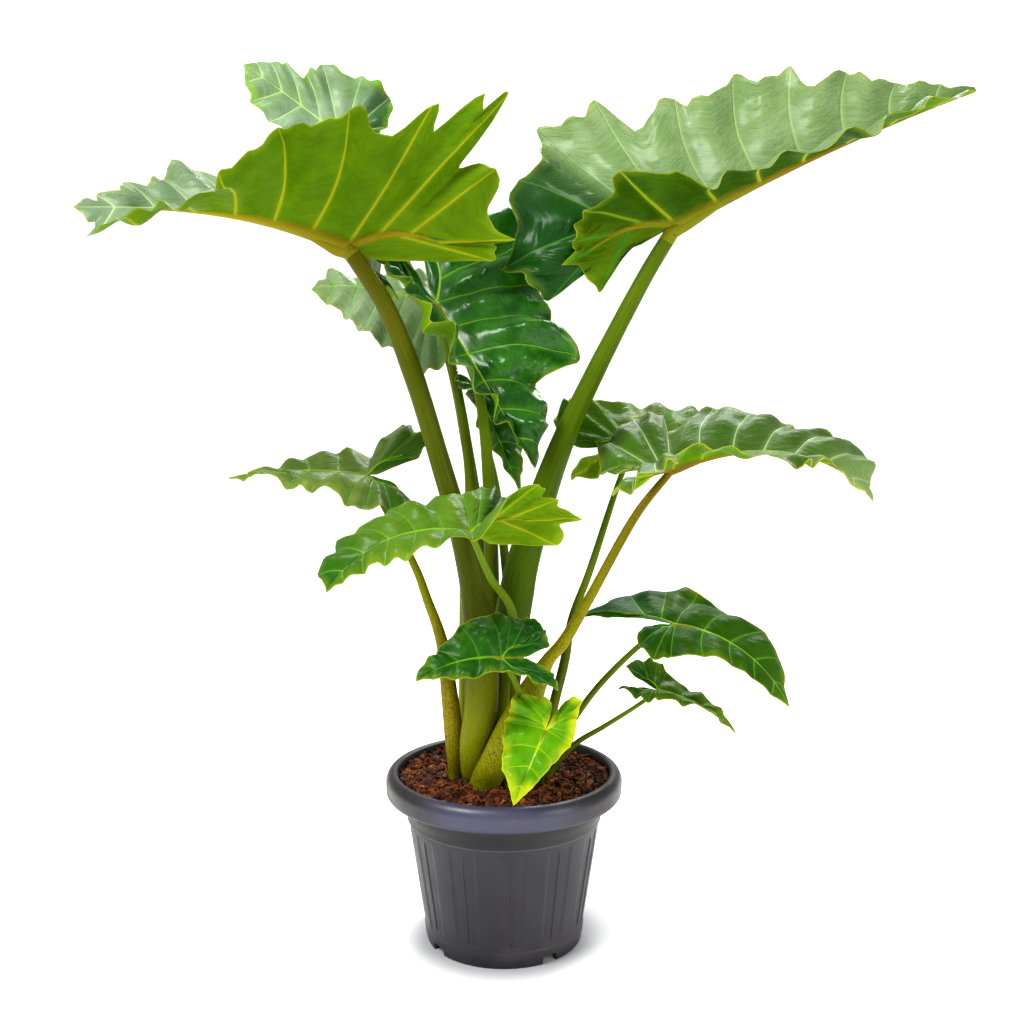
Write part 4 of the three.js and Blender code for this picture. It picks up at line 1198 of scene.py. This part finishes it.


# The lower colours are painted a bright yellow green, partly the underside's own colour and partly the
# light that comes through the blade. The pale value is the strength of the painted sheen on the upper face
# at grazing angles.
PLAIN_LOOK = dict(
    top=(20, 90, 8), top2=(45, 120, 12), lobe_top=(16, 78, 6), tip_top=(40, 115, 10),
    vein_top=(95, 150, 40), rib_top=(130, 175, 45), low=(100, 138, 2), low2=(80, 122, 3),
    lobe_low=(108, 145, 10), tip_low=(105, 138, 8), vein_low=(150, 160, 30), rib_low=(150, 150, 35),
    stem=(120, 122, 20), edge=(150, 165, 35),
    lobe_vein=(60, 120, 30), pale=0.3, fringe=0.25, lobe_share=0.8, dark_lobe=0.0, tip_from=0.55,
    coat=0.16, coat_rough=0.24, relief=0.5, blotch=55.0,
)
# Painted sheen: the pale grey-green upper colours of leaves 1, 2, 3 and 5, and the pale tip of leaf 8,
# stand in for the bright surround reflected in the wax, over the leaf's own darker green. Leaf 3's dark
# lobe keeps that own colour.
LOOKS = {
    # Leaf 1: pale grey-green upper colours, a painted sheen.
    1: dict(
        top=(108, 134, 94), top2=(132, 154, 120), tip_top=(118, 142, 108), vein_top=(175, 195, 145),
        rib_top=(180, 198, 145), low=(90, 122, 2), low2=(74, 108, 2), lobe_low=(94, 124, 6),
        vein_low=(150, 152, 22), rib_low=(150, 138, 25), stem=(124, 116, 20), pale=0.25,
    ),
    # Leaf 2: pale grey-green upper colours, a painted sheen.
    2: dict(
        top=(136, 158, 128), top2=(108, 138, 88), tip_top=(124, 150, 100), vein_top=(175, 198, 130),
        rib_top=(170, 195, 120), edge=(120, 160, 30), pale=0.35, fringe=0.8,
    ),
    # Leaf 3: pale grey-green upper colours, a painted sheen; the dark lobe is the leaf's own colour.
    3: dict(
        top=(118, 146, 90), top2=(136, 160, 112), lobe_top=(16, 70, 4), tip_top=(118, 148, 84),
        vein_top=(150, 178, 115), low=(62, 96, 2), low2=(44, 76, 3), lobe_low=(78, 106, 3),
        rib_low=(124, 100, 22), stem=(118, 120, 22), lobe_share=1.0, dark_lobe=1.0, coat=0.3,
        coat_rough=0.3, relief=0.8,
    ),
    4: dict(
        top=(20, 78, 3), top2=(52, 116, 18), tip_top=(30, 88, 4), vein_top=(100, 155, 35),
        rib_top=(140, 185, 50), coat=0.55, coat_rough=0.22, relief=1.0, blotch=40.0,
    ),
    # Leaf 5: pale grey-green upper colours, a painted sheen.
    5: dict(top=(116, 140, 96), top2=(138, 158, 122), lobe_top=(100, 132, 76), tip_top=(118, 140, 86)),
    6: dict(
        top=(88, 114, 42), top2=(112, 132, 66), lobe_top=(48, 88, 12), tip_top=(98, 122, 36), pale=0.12,
        coat=0.08,
    ),
    # Leaf 7: its dark far lobe is painted shade.
    7: dict(
        top=(78, 116, 22), top2=(98, 130, 34), lobe_top=(14, 56, 3), tip_top=(26, 86, 1),
        lobe_low=(98, 130, 5), pale=0.08, tip_from=0.35, lobe_share=1.0,
    ),
    # Leaf 8: its pale grey-green tip is a painted sheen.
    8: dict(
        top=(62, 92, 26), top2=(76, 106, 42), lobe_top=(76, 112, 28), tip_top=(134, 160, 100),
        vein_top=(165, 188, 130), stem=(120, 100, 30), edge=(190, 190, 70), pale=0.1, coat=0.08,
    ),
    9: dict(
        top=(88, 126, 30), top2=(104, 138, 50), lobe_top=(60, 104, 12), lobe_low=(104, 128, 6), pale=0.15,
        coat=0.08,
    ),
    10: dict(
        top=(26, 78, 8), top2=(48, 98, 16), tip_top=(50, 100, 16), vein_top=(80, 130, 35),
        rib_top=(100, 150, 40), pale=0.15, blotch=20.0,
    ),
    11: dict(
        top=(84, 146, 2), top2=(102, 156, 3), lobe_top=(100, 158, 4), tip_top=(108, 160, 6),
        vein_top=(150, 185, 25), rib_top=(160, 190, 30), edge=(200, 200, 20), pale=0.1, fringe=0.7,
        coat=0.15,
    ),
    12: dict(
        top=(40, 78, 3), top2=(54, 92, 5), tip_top=(60, 98, 5), lobe_low=(80, 120, 10), pale=0.08,
        coat=0.06, coat_rough=0.4,
    ),
    13: dict(top=(70, 102, 10), top2=(88, 116, 20), tip_top=(100, 125, 20)),
    14: dict(top=(24, 84, 6), top2=(36, 98, 8), coat=0.6),
}
print("looks:", len(LOOKS))

# %% [markdown]
# ## Making the leaves
# Each leaf is two pieces, the stalk and the blade, because the frame has them as two solids. The top
# end of the stalk belongs to the blade: it stands on the stalk's flat end and runs on into the midrib.

# %% Blades
STUB_SIDES = 20
STUB_ROWS = 22
STUB_STEPS = (0.03, 0.07, 0.12, 0.18)
STUB_END = 0.2
BOX_MARGIN = 0.05
LOWER_WEAVE_SHIFT = 90.0


def blade_stub(leaf, frames, thick):
    """The last of the stalk, which swings into the midrib and thins out along it."""
    points, ways, radii = stalk_samples(leaf, stub_start(leaf), len(leaf["stalk"]), 6)
    path = [[*point, radius] for point, radius in zip(points[:4], radii)]
    for t in STUB_STEPS:
        point, ahead, up, left = frame_at(frames, t)
        size = thick * (1 - t / STUB_END) ** 0.7 * 0.92 + 0.4
        path.append([*(point - up * (size * 0.55 + 0.3)), size])
    rows = np.array([spline(path, u) for u in np.linspace(0, len(path) - 1, STUB_ROWS)])
    way_in = ways[0]
    ways = np.gradient(rows[:, :3], axis=0)
    ways[0] = way_in
    return tube(rows[:, :3], [unit(way) for way in ways], rows[:, 3], STUB_SIDES)


blade_faces = 0
for number, leaf in enumerate(LEAVES, 1):
    frames = midrib_frames(leaf)
    sheet, faces, values, vein_width, thick = blade_sheet(leaf, frames)
    solid, solid_faces = blade_solid(sheet, faces, values, vein_width)
    stub, stub_faces = blade_stub(leaf, frames, thick)
    solid_faces += [[k + len(solid) for k in face] for face in stub_faces]
    points = np.clip(np.vstack([solid, stub]), LOW_CORNER + BOX_MARGIN, HIGH_CORNER - BOX_MARGIN)
    layers = {}
    for label, on_stub in dict(rib=0.0, vein=9.0, edge=60.0, lobe=0.0, along=0.0, stem=1.0).items():
        layers[label] = np.concatenate([values[label], values[label], np.full(len(stub), on_stub)])
    weave = np.stack([values[f"weave {axis}"] for axis in "xyz"], axis=1)
    layers["weave"] = np.vstack([weave, weave + LOWER_WEAVE_SHIFT, stub - stub[0]])
    layers["under"] = np.concatenate([np.zeros(len(sheet)), np.ones(len(sheet) + len(stub))])
    blade = mesh_object(f"leaf_{number:02d}_blade", points, solid_faces, layers)
    look = painted({**PLAIN_LOOK, **LOOKS[number]})
    finish_piece(blade, f"blade_{number:02d}", blade_material(f"blade finish {number:02d}", look))
    blade_faces += len(solid_faces)
print("fourteen blades,", blade_faces, "faces")

# %% Stalks
PLAIN_STALK = dict(foot=(84, 96, 3), top=(96, 122, 8), freckle=(60, 50, 12), amount=0.5, turn=0.3)
STALK_LOOKS = {
    1: dict(foot=(74, 82, 1), top=(84, 82, 2), freckle=(58, 46, 6), amount=0.62, turn=0.7),
    3: dict(foot=(68, 92, 1), top=(80, 102, 2), freckle=(44, 50, 2), amount=0.45, turn=0.4),
    6: dict(foot=(150, 134, 14), top=(98, 110, 6), freckle=(74, 48, 8), amount=0.85, turn=0.1),
    8: dict(foot=(148, 148, 10), top=(112, 98, 8), freckle=(70, 46, 6), amount=0.85, turn=0.3),
}
GROOVE_SIDES = {1: -32, 3: 190, 6: -12, 8: 185}
STALK_ROWS = 90
LOOK_OUT_ROW = 10
SHEATH_SHARE = 0.5
SWELL = 0.12
THICK_STALK, THICK_SIDES, THIN_SIDES = 10, 28, 18
RIDGE_SHARE, GROOVE_SHARE = 0.05, 0.14

stalk_faces = 0
for number, leaf in enumerate(LEAVES, 1):
    points, ways, radii = stalk_samples(leaf, 0, stub_start(leaf), STALK_ROWS)
    length = np.concatenate([[0], np.cumsum(np.linalg.norm(np.diff(points, axis=0), axis=1))])
    share = length / length[-1]
    x, y, z = points[LOOK_OUT_ROW]
    outside = np.array([*compass(GROOVE_SIDES.get(number, math.degrees(math.atan2(y, x)))), 0.0])
    on_path = {
        "thick": radii, "length": length, "height": share,
        "sheath": 1 - smooth_step(share, SHEATH_SHARE * 0.5, SHEATH_SHARE),
        "facing": [unit(outside - way * (outside @ way)) for way in ways],
    }
    steps = [(k, k + 1) for k in range(STALK_ROWS - 1)]
    stalk = mesh_object(f"leaf_{number:02d}_stalk", points, [], on_path, steps)
    widest = float(radii.max())
    look = painted(STALK_LOOKS.get(number, PLAIN_STALK))
    grow(stalk, skin, {
        "Sides": THICK_SIDES if widest > THICK_STALK else THIN_SIDES,
        "Ridge mm": RIDGE_SHARE * widest, "Groove mm": GROOVE_SHARE * widest,
        "Swell": SWELL, "Material": stalk_material(f"stalk finish {number:02d}", **look),
    })
    finish_piece(stalk, f"petiole_{number:02d}")
    stalk_faces += len(stalk.data.polygons)
print("fourteen stalks,", stalk_faces, "faces")

# %% [markdown]
# ## The pot
# A deep nursery pot, moulded in dark plastic: a broad rounded rim over a plain collar, a wall that
# tapers down in panels with shallow flutes between them, and a slightly wider foot with drain slots. It
# is drawn as a profile turned round the axis, with the flutes pressed in where the angle calls for
# them.

# %% Pot shape
WALL_BOTTOM, WALL_BOTTOM_RADIUS = 26.0, 115.0
COLLAR_BOTTOM, WALL_TOP_RADIUS = 182.0, 138.0
FLOOR_TOP = 9.0
FLUTES, FLUTE_HALF_ANGLE, FLUTE_EDGE, FLUTE_DEPTH, FIRST_FLUTE = 12, 8.5, 0.9, 1.3, 5.0
FLUTE_FOOT, FLUTE_TOP = (28, 32), (171, 175.5)
POT_SIDES = 432


def wall_radius(z):
    slope = (WALL_TOP_RADIUS - WALL_BOTTOM_RADIUS) / (COLLAR_BOTTOM - WALL_BOTTOM)
    return WALL_BOTTOM_RADIUS + slope * (z - WALL_BOTTOM)


def arc(centre, radius, start, end, count):
    turns = [compass(angle) for angle in np.linspace(start, end, count)]
    return [(centre[0] + radius[0] * across, centre[1] + radius[1] * up) for across, up in turns]


UNDERSIDE = [(72, 0), (73, 0.6), (75, 5), (102, 5), (104.2, 0.6), (105, 0), (111.4, 0), (112.2, 0.8)]
FOOT = [
    (112.9, 5), (113.6, 9), (114.0, 11.2), (114.7, 11.9), (114.9, 13), (115.5, 20), (115.9, 23.4),
    (115.3, 24.6), (wall_radius(26) - 0.1, 26)
]
WALL_HEIGHTS = (27.5, 29, 31, 34, 50, 75, 100, 125, 150, 168, 171, 173, 174.5, 176, 179, 180.5)
WALL = [(wall_radius(z), z) for z in WALL_HEIGHTS]
COLLAR = [
    (139.4, 181.2), (139.9, 182.2), (140.1, 184), (140.8, 188), (142.4, 192.5), (144.8, 197), (146.8, 202),
    (147.8, 207), (148.2, 213.6), (160, 214.1)
]
RIM = arc((160.5, 223.0), (9.0, 8.9), -80, 0, 8) + arc((157.5, 234.0), (12.4, 15.9), 4, 78, 12)
LIP = [(158.2, 249.9), (156.3, 250), (155.0, 249.2), (154.4, 248.4), (153.4, 248.3), (152.9, 247.6)]
INSIDE = [(151, 238), (144.2, 214), (136.2, 182), (110.9, 26), (109.2, FLOOR_TOP)]
POT_PROFILE = UNDERSIDE + FOOT + WALL + COLLAR + RIM + LIP + INSIDE


def pot_ring(angle):
    """The profile at one angle, counted from the front, with the flute pressed in."""
    from_flute = (angle - FIRST_FLUTE + 180 / FLUTES) % (360 / FLUTES) - 180 / FLUTES
    edge = FLUTE_HALF_ANGLE - FLUTE_EDGE, FLUTE_HALF_ANGLE
    flute = FLUTE_DEPTH * (1 - smooth_step(abs(from_flute), *edge))
    away, sideways = compass(angle)
    ring = []
    for radius, z in POT_PROFILE:
        radius -= float(flute * smooth_step(z, *FLUTE_FOOT) * (1 - smooth_step(z, *FLUTE_TOP)))
        ring.append((radius * sideways, -radius * away, z))
    return ring


rings = [pot_ring(360.0 * k / POT_SIDES) for k in range(POT_SIDES)]
pot = mesh_object("pot_shell", *turned_body(rings, (0, 0, 0), (0, 0, FLOOR_TOP)))
print("pot:", len(pot.data.vertices), "points")

# %% [markdown]
# The drain slots are cut through the foot with a boolean, as the mould does it with a pin. The narrow
# round ridge in the middle of each flute is the same bar twelve times, so Geometry Nodes places it
# round the wall.

# %% Pot slots and ridges
SLOTS, FIRST_SLOT, SLOT_HALF_WIDTH, SLOT_HEIGHT, SLOT_ROUNDING = 4, 35.0, 12.0, 13.0, 4.0
SLOT_START, SLOT_END, SLOT_BELOW = 98, 124, -2
SLOT_ARCH = 1.571


def slot_cutter(angle):
    """A bar with an arched top that reaches through the foot at one angle."""
    away, sideways = compass(angle)
    out, side, up = np.array([[sideways, -away, 0], [away, sideways, 0], [0, 0, 1]])
    crown = [(math.cos(turn), math.sin(turn)) for turn in np.linspace(-SLOT_ARCH, SLOT_ARCH, 11)]
    section = [(-SLOT_HALF_WIDTH, SLOT_BELOW)]
    section += [(SLOT_HALF_WIDTH * x, SLOT_HEIGHT - SLOT_ROUNDING * (1 - z)) for z, x in crown]
    section += [(SLOT_HALF_WIDTH, SLOT_BELOW)]
    corners = [out * r + side * x + up * z for r in (SLOT_START, SLOT_END) for x, z in section]
    count = len(section)
    near, far = list(range(count)), list(range(count, 2 * count))
    walls = [[k + count, (k + 1) % count + count, (k + 1) % count, k] for k in near]
    return mesh_object("slot cutter", corners, walls + [near, far[::-1]])


cutters = [slot_cutter(FIRST_SLOT + 360 / SLOTS * k) for k in range(SLOTS)]
for cutter in cutters:
    cut = pot.modifiers.new("slot", "BOOLEAN")
    cut.operation = "DIFFERENCE"
    cut.object = cutter
    cut.solver = "EXACT"
keep_result(pot)
for cutter in cutters:
    bpy.data.objects.remove(cutter)

ridges, given, result = geometry_group("pot ridges", {
    "Count": 12, "Foot radius mm": 114.0, "Top radius mm": 136.0, "Foot height mm": 31.0,
    "Top height mm": 170.0, "Half width mm": 2.4, "First angle": 5.0,
})
ends = []
for end in ("Foot", "Top"):
    back = times(given[f"{end} radius mm"], -MM)
    level = times(given[f"{end} height mm"], MM)
    ends.append(add(ridges, "ShaderNodeCombineXYZ", {1: back, 2: level}))
line = add(ridges, "GeometryNodeCurvePrimitiveLine", {"Start": ends[0], "End": ends[1]})
line = shape("ResampleCurve", line, "Curve", Count=24)
fade = band(add(ridges, "GeometryNodeSplineParameter", None, "Factor"), (0.0, 0.04), (0.96, 1.0))
fade = plus(times(fade, 0.85), 0.15)
width = times(times(given["Half width mm"], MM), fade)
bar = sweep(line, circle(ridges, 12), width)
spots = add(ridges, "GeometryNodeMeshLine", {"Count": given["Count"], "Offset": (0.0, 0.0, 0.0)})
step = maths("DIVIDE", FULL_TURN, given["Count"])
first = maths("RADIANS", given["First angle"])
turn = plus(times(add(ridges, "GeometryNodeInputIndex"), step), first)
turn = add(ridges, "ShaderNodeCombineXYZ", {2: turn})
copies = shape("InstanceOnPoints", spots, "Points", Instance=bar, Rotation=turn)
shell = shape("RealizeInstances", join(ridges, copies, given["Geometry"]))
fill(result, {"Geometry": shape("SetMaterial", shell, Material=given["Material"])})
print("ridge tree:", len(ridges.nodes), "nodes")

# %% [markdown]
# The plastic is charcoal with a satin skin. It shows the nursery's use: a veil of dried splashes near
# the foot and under the rim, tiny crumbs that stuck, and a faint orange-peel surface. Light and shade
# are painted into its colour too: a painted shadow darkens the collar under the rim, the rim carries a
# painted highlight, pale blue grey at the front and darker toward the sides, the inside of the mouth is
# painted dark as shade, and a thin painted highlight runs along the ledge where the collar starts.

# %% Pot material
COLLAR_SHADOW_BAND = (0.179, 0.182), (0.21, 0.216)
LEDGE_HIGHLIGHT_BAND = (0.1785, 0.1805), (0.1812, 0.183)
RIM_BOTTOM, RIM_HIGHLIGHT_SPAN = (0.21, 0.222), (0.05, 0.14)
MOUTH_RADIUS, MOUTH_HEIGHT = (0.1535, 0.1555), (0.214, 0.217)

pot_finish, tree, shader = new_material("pot finish")
marks = place_group(tree, splashes, {"Spot size mm": 4.5, "Amount": 0.34})
fine = place_group(tree, tissue, {"Blotch size mm": 90.0, "Grain size mm": 1.4})
place = object_place(tree)
level = axis_of(place, "Z")
colour = blend(fine["Blotch"], paint(32, 30, 36), paint(40, 38, 45))
# Painted shadow: the collar under the rim is darkened as the rim's shade.
colour = blend(band(level, *COLLAR_SHADOW_BAND), colour, paint(16, 14, 15))
sideways = maths("ABSOLUTE", axis_of(place, "X"))
# Painted highlight: the rim is a paler blue grey where it faces the viewer and a darker brown toward the
# sides, as the light falls on it.
rim_with_painted_highlight = blend(ramp(sideways, *RIM_HIGHLIGHT_SPAN), paint(64, 64, 86), paint(30, 26, 25))
colour = blend(ramp(level, *RIM_BOTTOM), colour, rim_with_painted_highlight)
flat = vector_maths("MULTIPLY", {0: place, 1: (1.0, 1.0, 0.0)})
from_axis = vector_maths("LENGTH", {0: flat}, "Value")
# Painted shade: the inner wall of the mouth, above the mix, is darkened as shade.
mouth_shade = times(ramp(from_axis, *MOUTH_RADIUS, 1.0, 0.0), ramp(level, *MOUTH_HEIGHT))
colour = blend(mouth_shade, colour, paint(20, 18, 18))
# Painted highlight: a thin paler band along the ledge where the collar starts.
ledge_highlight = times(band(level, *LEDGE_HIGHLIGHT_BAND), 0.6)
colour = blend(ledge_highlight, colour, paint(92, 90, 96))
dusty = times(marks["Film"], ramp(level, 0.0, 0.06, 0.4, 0.06))
colour = blend(dusty, colour, paint(78, 70, 66))
spotted = plus(ramp(level, 0.02, 0.1, 0.8, 0.12), ramp(level, 0.2, 0.24, 0.0, 0.5))
colour = blend(times(marks["Spots"], spotted), colour, paint(112, 74, 46))
rough = ramp(marks["Film"], 0.0, 1.0, 0.36, 0.5)
wire_shader(shader, colour, rough, fine["Grain"], 0.12, 0.3)

RIDGE_FOOT, RIDGE_TOP, RIDGE_HALF_WIDTH = 31.0, 171.0, 1.9
grow(pot, ridges, {
    "Count": FLUTES, "Foot radius mm": wall_radius(RIDGE_FOOT) - RIDGE_HALF_WIDTH,
    "Top radius mm": wall_radius(RIDGE_TOP) - RIDGE_HALF_WIDTH, "Foot height mm": RIDGE_FOOT,
    "Top height mm": RIDGE_TOP, "Half width mm": RIDGE_HALF_WIDTH, "First angle": FIRST_FLUTE,
    "Material": pot_finish,
})
finish_piece(pot, "pot", pot_finish)
print("pot with ridges:", len(pot.data.polygons), "faces")

# %% [markdown]
# ## The planting mix
# The pot is filled to a finger's width under the rim with a mix of bark and coir. Its body is one
# closed lump inside the pot. On top lie chips, crumbs and fibres, scattered by Geometry Nodes with
# fixed seeds, sunk a little so that each rests in the mix.

# %% Soil body
SOIL_LEVEL = 237.0
SOIL_FLOOR = 9.6
SOIL_SIDES = 120
SOIL_SIDE = [(108.4, SOIL_FLOOR), (110.1, 26.4), (135.4, 182), (143.4, 214), (148.8, 232), (149.2, 235.2)]
SOIL_RINGS = [148, 145, 140, 134, *range(127, 6, -8)]
SOIL_OUTLINE = SOIL_SIDE + [(radius, SOIL_LEVEL) for radius in SOIL_RINGS]
LUMPS = ((63, 1.7), (41, 1.2), (23, 0.8), (13, 0.6))
GRIT = 0.7
random = np.random.default_rng(31)


def lumps(x, y):
    waves = 0.0
    for k, (size, height) in enumerate(LUMPS):
        waves += height * math.sin(x / size * 6.28 + k * 1.3) * math.sin(y / size * 6.28 + k * 2.1)
    return waves


def soil_ring(angle):
    away, sideways = compass(angle)
    ring = []
    for radius, z in SOIL_OUTLINE:
        x, y = radius * sideways, -radius * away
        rise = lumps(x, y) + random.uniform(-GRIT, GRIT) if z >= SOIL_LEVEL else 0
        ring.append((x, y, z + rise))
    return ring


rings = [soil_ring(360.0 * k / SOIL_SIDES) for k in range(SOIL_SIDES)]
soil = mesh_object("planting_mix", *turned_body(rings, (0, 0, SOIL_FLOOR), (0, 0, SOIL_LEVEL + 1)))

# %% Scatter tree
BARE_SOIL_BELOW = 0.22
JOLT_SCALE, JOLT_SIZE = 230.0, 0.009

scatter, given, result = geometry_group("scatter", {
    "Seed": 3, "Chips per m2": 16000.0, "Crumbs per m2": 42000.0, "Fibres per m2": 7000.0,
    "Chips size mm": 4.6, "Crumbs size mm": 2.0, "Fibres size mm": 24.0,
})
height = axis_of(add(scatter, "GeometryNodeInputPosition"), "Z")
is_top = maths("GREATER_THAN", height, BARE_SOIL_BELOW)


def seed(step):
    return plus(given["Seed"], float(step))


def random_value(step, low, high):
    """A random number, or a random vector, between low and high for each scattered piece."""
    if isinstance(low, tuple):
        inputs = {0: low, 1: high, "Seed": seed(step)}
        return add(scatter, "FunctionNodeRandomValue", inputs, 0, data_type="FLOAT_VECTOR")
    inputs = {2: low, 3: high, "Seed": seed(step)}
    return add(scatter, "FunctionNodeRandomValue", inputs, 1, data_type="FLOAT")


def scattered(kind, step, body, smallest, largest, tilt, sink_mm):
    """Copies of a body all over the top of the mix, no two of one size, each with a random shade."""
    spots = shape(
        "DistributePointsOnFaces", given["Geometry"], "Mesh",
        Selection=is_top, Density=given[f"{kind} per m2"], Seed=seed(step),
    )
    scale = vector_maths("SCALE", {
        0: random_value(step + 1, smallest, largest), "Scale": times(given[f"{kind} size mm"], MM),
    })
    turn = random_value(step + 2, (-tilt, -tilt, 0.0), (tilt, tilt, 6.283))
    copies = shape("InstanceOnPoints", spots, "Points", Instance=body, Rotation=turn, Scale=scale)
    copies = shape(
        "TranslateInstances", copies, "Instances",
        Translation=(0.0, 0.0, sink_mm * MM), Local_Space=False,
    )
    return store(copies, "shade", random_value(step + 3, 0.0, 1.0), domain="INSTANCE")


stone, grain = (
    add(scatter, "GeometryNodeMeshIcoSphere", {"Radius": 1.0, "Subdivisions": level}) for level in (2, 1)
)
arch = add(scatter, "GeometryNodeCurvePrimitiveBezierSegment", {
    "Resolution": 8, "Start": (-0.5, 0.0, -0.05), "Start Handle": (-0.2, 0.35, 0.2),
    "End Handle": (0.15, -0.4, 0.25), "End": (0.5, 0.1, 0.0),
})
fibre = sweep(arch, circle(scatter, 4), 0.02)
chips = scattered("Chips", 10, stone, (0.3, 0.25, 0.2), (1.7, 1.2, 0.7), 0.9, 1.6)
crumbs = scattered("Crumbs", 20, grain, (0.4, 0.4, 0.4), (1.3, 1.2, 1.0), 1.5, 1.0)
fibres = scattered("Fibres", 30, fibre, (0.4, 0.4, 0.3), (1.3, 1.3, 0.9), 0.35, 2.6)
rocks = shape("RealizeInstances", join(scatter, chips, crumbs))
jolt = noise(add(scatter, "GeometryNodeInputPosition"), JOLT_SCALE, "Color", Detail=1.0)
jolt = vector_maths("SUBTRACT", {0: jolt, 1: (0.5, 0.5, 0.5)})
jolt = vector_maths("SCALE", {0: jolt, "Scale": JOLT_SIZE})
rocks = shape("SetPosition", rocks, Offset=jolt)
rocks = shape("SetShadeSmooth", rocks, Shade_Smooth=False)
threads = store(shape("RealizeInstances", fibres), "thread", 1.0)
everything = join(scatter, given["Geometry"], rocks, threads)
fill(result, {"Geometry": shape("SetMaterial", everything, Material=given["Material"])})
print("scatter tree:", len(scatter.nodes), "nodes")

# %% [markdown]
# The mix is red brown with blackish and sandy pieces. Each scattered piece carries a random number, its
# shade, and the fibres a mark of their own, so one material serves them all.

# %% Soil material
mix_finish, tree, shader = new_material("planting mix finish")
cloud = place_group(tree, tissue, {"Blotch size mm": 25.0, "Grain size mm": 2.0})
shade = stored(tree, "shade")
colour = blend(cloud["Grain"], paint(30, 12, 4), paint(92, 44, 16))
colour = blend(ramp(shade, 0.35, 0.75), colour, paint(142, 72, 28))
colour = blend(ramp(shade, 0.92, 0.98), colour, paint(176, 112, 56))
colour = blend(times(cloud["Blotch"], 0.45), colour, paint(40, 22, 14))
straw = blend(shade, paint(112, 62, 28), paint(176, 126, 72))
colour = blend(stored(tree, "thread"), colour, straw)
rough = ramp(cloud["Grain"], 0.0, 1.0, 0.75, 0.95)
wire_shader(shader, colour, rough, cloud["Grain"], 0.7, 0.8)
grow(soil, scatter, {
    "Seed": 5, "Chips per m2": 9500.0, "Crumbs per m2": 34000.0, "Fibres per m2": 3600.0,
    "Chips size mm": 5.8, "Crumbs size mm": 2.3, "Fibres size mm": 24.0, "Material": mix_finish,
})
finish_piece(soil, "soil", mix_finish)
print("planting mix:", len(soil.data.polygons), "faces")

# %% [markdown]
# ## The corms
# Two brown corms sit hidden in the mix, and the stalks grow from them. They keep the frame's own meshes
# and only get a bark-like finish with rings.

# %% Corm material
corm_finish, tree, shader = new_material("corm finish")
cloud = place_group(tree, tissue, {"Blotch size mm": 22.0, "Grain size mm": 2.5})
rings = {"Vector": object_place(tree), "Scale": 40.0, "Distortion": 3.0}
scars = add(tree, "ShaderNodeTexWave", rings, "Fac", bands_direction="Z")
colour = blend(cloud["Blotch"], paint(107, 74, 44), paint(70, 46, 28))
colour = blend(times(scars, 0.5), colour, paint(150, 118, 78))
wire_shader(shader, colour, ramp(cloud["Grain"], 0.0, 1.0, 0.7, 0.9), scars, 0.5, 1.0)
for name in ("corm_main", "corm_side"):
    for holder in frame["nodes"][name].material_slots:
        holder.material = corm_finish
print("corms dressed")

# %% [markdown]
# ## Floor and light
# A pale seamless floor and a bright surround, as in a small studio: one large soft light from the upper
# left gives the highlights on the dark leaves, a weaker one from behind adds to the pale sheen of the
# wax, which the blade finishes also paint in, and a faint one from the right opens the shadows. The
# floor is painted a darker grey where the pot stands, a painted shadow, and glows a little further out.

# %% Floor and light
FLOOR_REACH = 9000
SHADOW_EDGE = (0.112, 0.16)
GLOW_EDGE = (0.13, 0.7)
SURROUND, SEEN_SURROUND = 0.55, 1.1

corners = [(x * FLOOR_REACH, y * FLOOR_REACH, 0) for x, y in ((-1, -1), (1, -1), (1, 1), (-1, 1))]
floor = mesh_object("studio_floor", corners, [(0, 1, 2, 3)])
floor_finish, tree, shader = new_material("floor finish")
cloud = place_group(tree, tissue, {"Blotch size mm": 900.0, "Grain size mm": 3.0})
away = vector_maths("LENGTH", {0: object_place(tree)}, "Value")
pale = blend(cloud["Blotch"], paint(238, 238, 238), paint(243, 243, 243))
# Painted shadow: the floor's base colour is a darker grey near the pot, and its glow is kept low there so
# that the shadow shows; further out the glow keeps the floor white.
glow = blend(ramp(away, *GLOW_EDGE), (0.05, 0.05, 0.05, 1.0), (0.75, 0.75, 0.75, 1.0))
fill(shader, {
    "Base Color": blend(ramp(away, *SHADOW_EDGE), paint(172, 172, 176), pale),
    "Emission Color": glow, "Emission Strength": 1.0, "Roughness": 0.8,
})
floor.data.materials.append(floor_finish)

bpy.context.scene.view_settings.view_transform = "Standard"
bpy.context.scene.view_settings.look = "Medium High Contrast"
world = bpy.data.worlds.new("studio")
bpy.context.scene.world = world
world.use_nodes = True
tree = world.node_tree
seen = add(tree, "ShaderNodeLightPath", None, "Is Camera Ray")
strength = ramp(seen, 0.0, 1.0, SURROUND, SEEN_SURROUND)
fill(tree.nodes["Background"], {"Color": (1, 1, 1, 1), "Strength": strength})


def soft_light(name, place, target, size, power):
    data = bpy.data.lights.new(name, "AREA")
    data.shape = "RECTANGLE"
    data.size, data.size_y = size
    data.energy = power
    lamp = bpy.data.objects.new(name, data)
    lamp.location = place
    x, y, z = np.array(target, float) - np.array(place, float)
    lamp.rotation_euler = (math.atan2(math.hypot(x, y), -z), 0, math.atan2(y, x) - math.pi / 2)
    bpy.context.scene.collection.objects.link(lamp)


soft_light("key light", (-1.5, -1.3, 2.7), (0, 0, 0.8), (1.0, 1.0), 75)
soft_light("back light", (0.6, 2.0, 2.5), (0, 0, 1.0), (2.0, 0.8), 60)
soft_light("fill light", (2.2, -1.6, 1.3), (0, 0, 0.7), (0.8, 1.6), 22)
print("lights set")
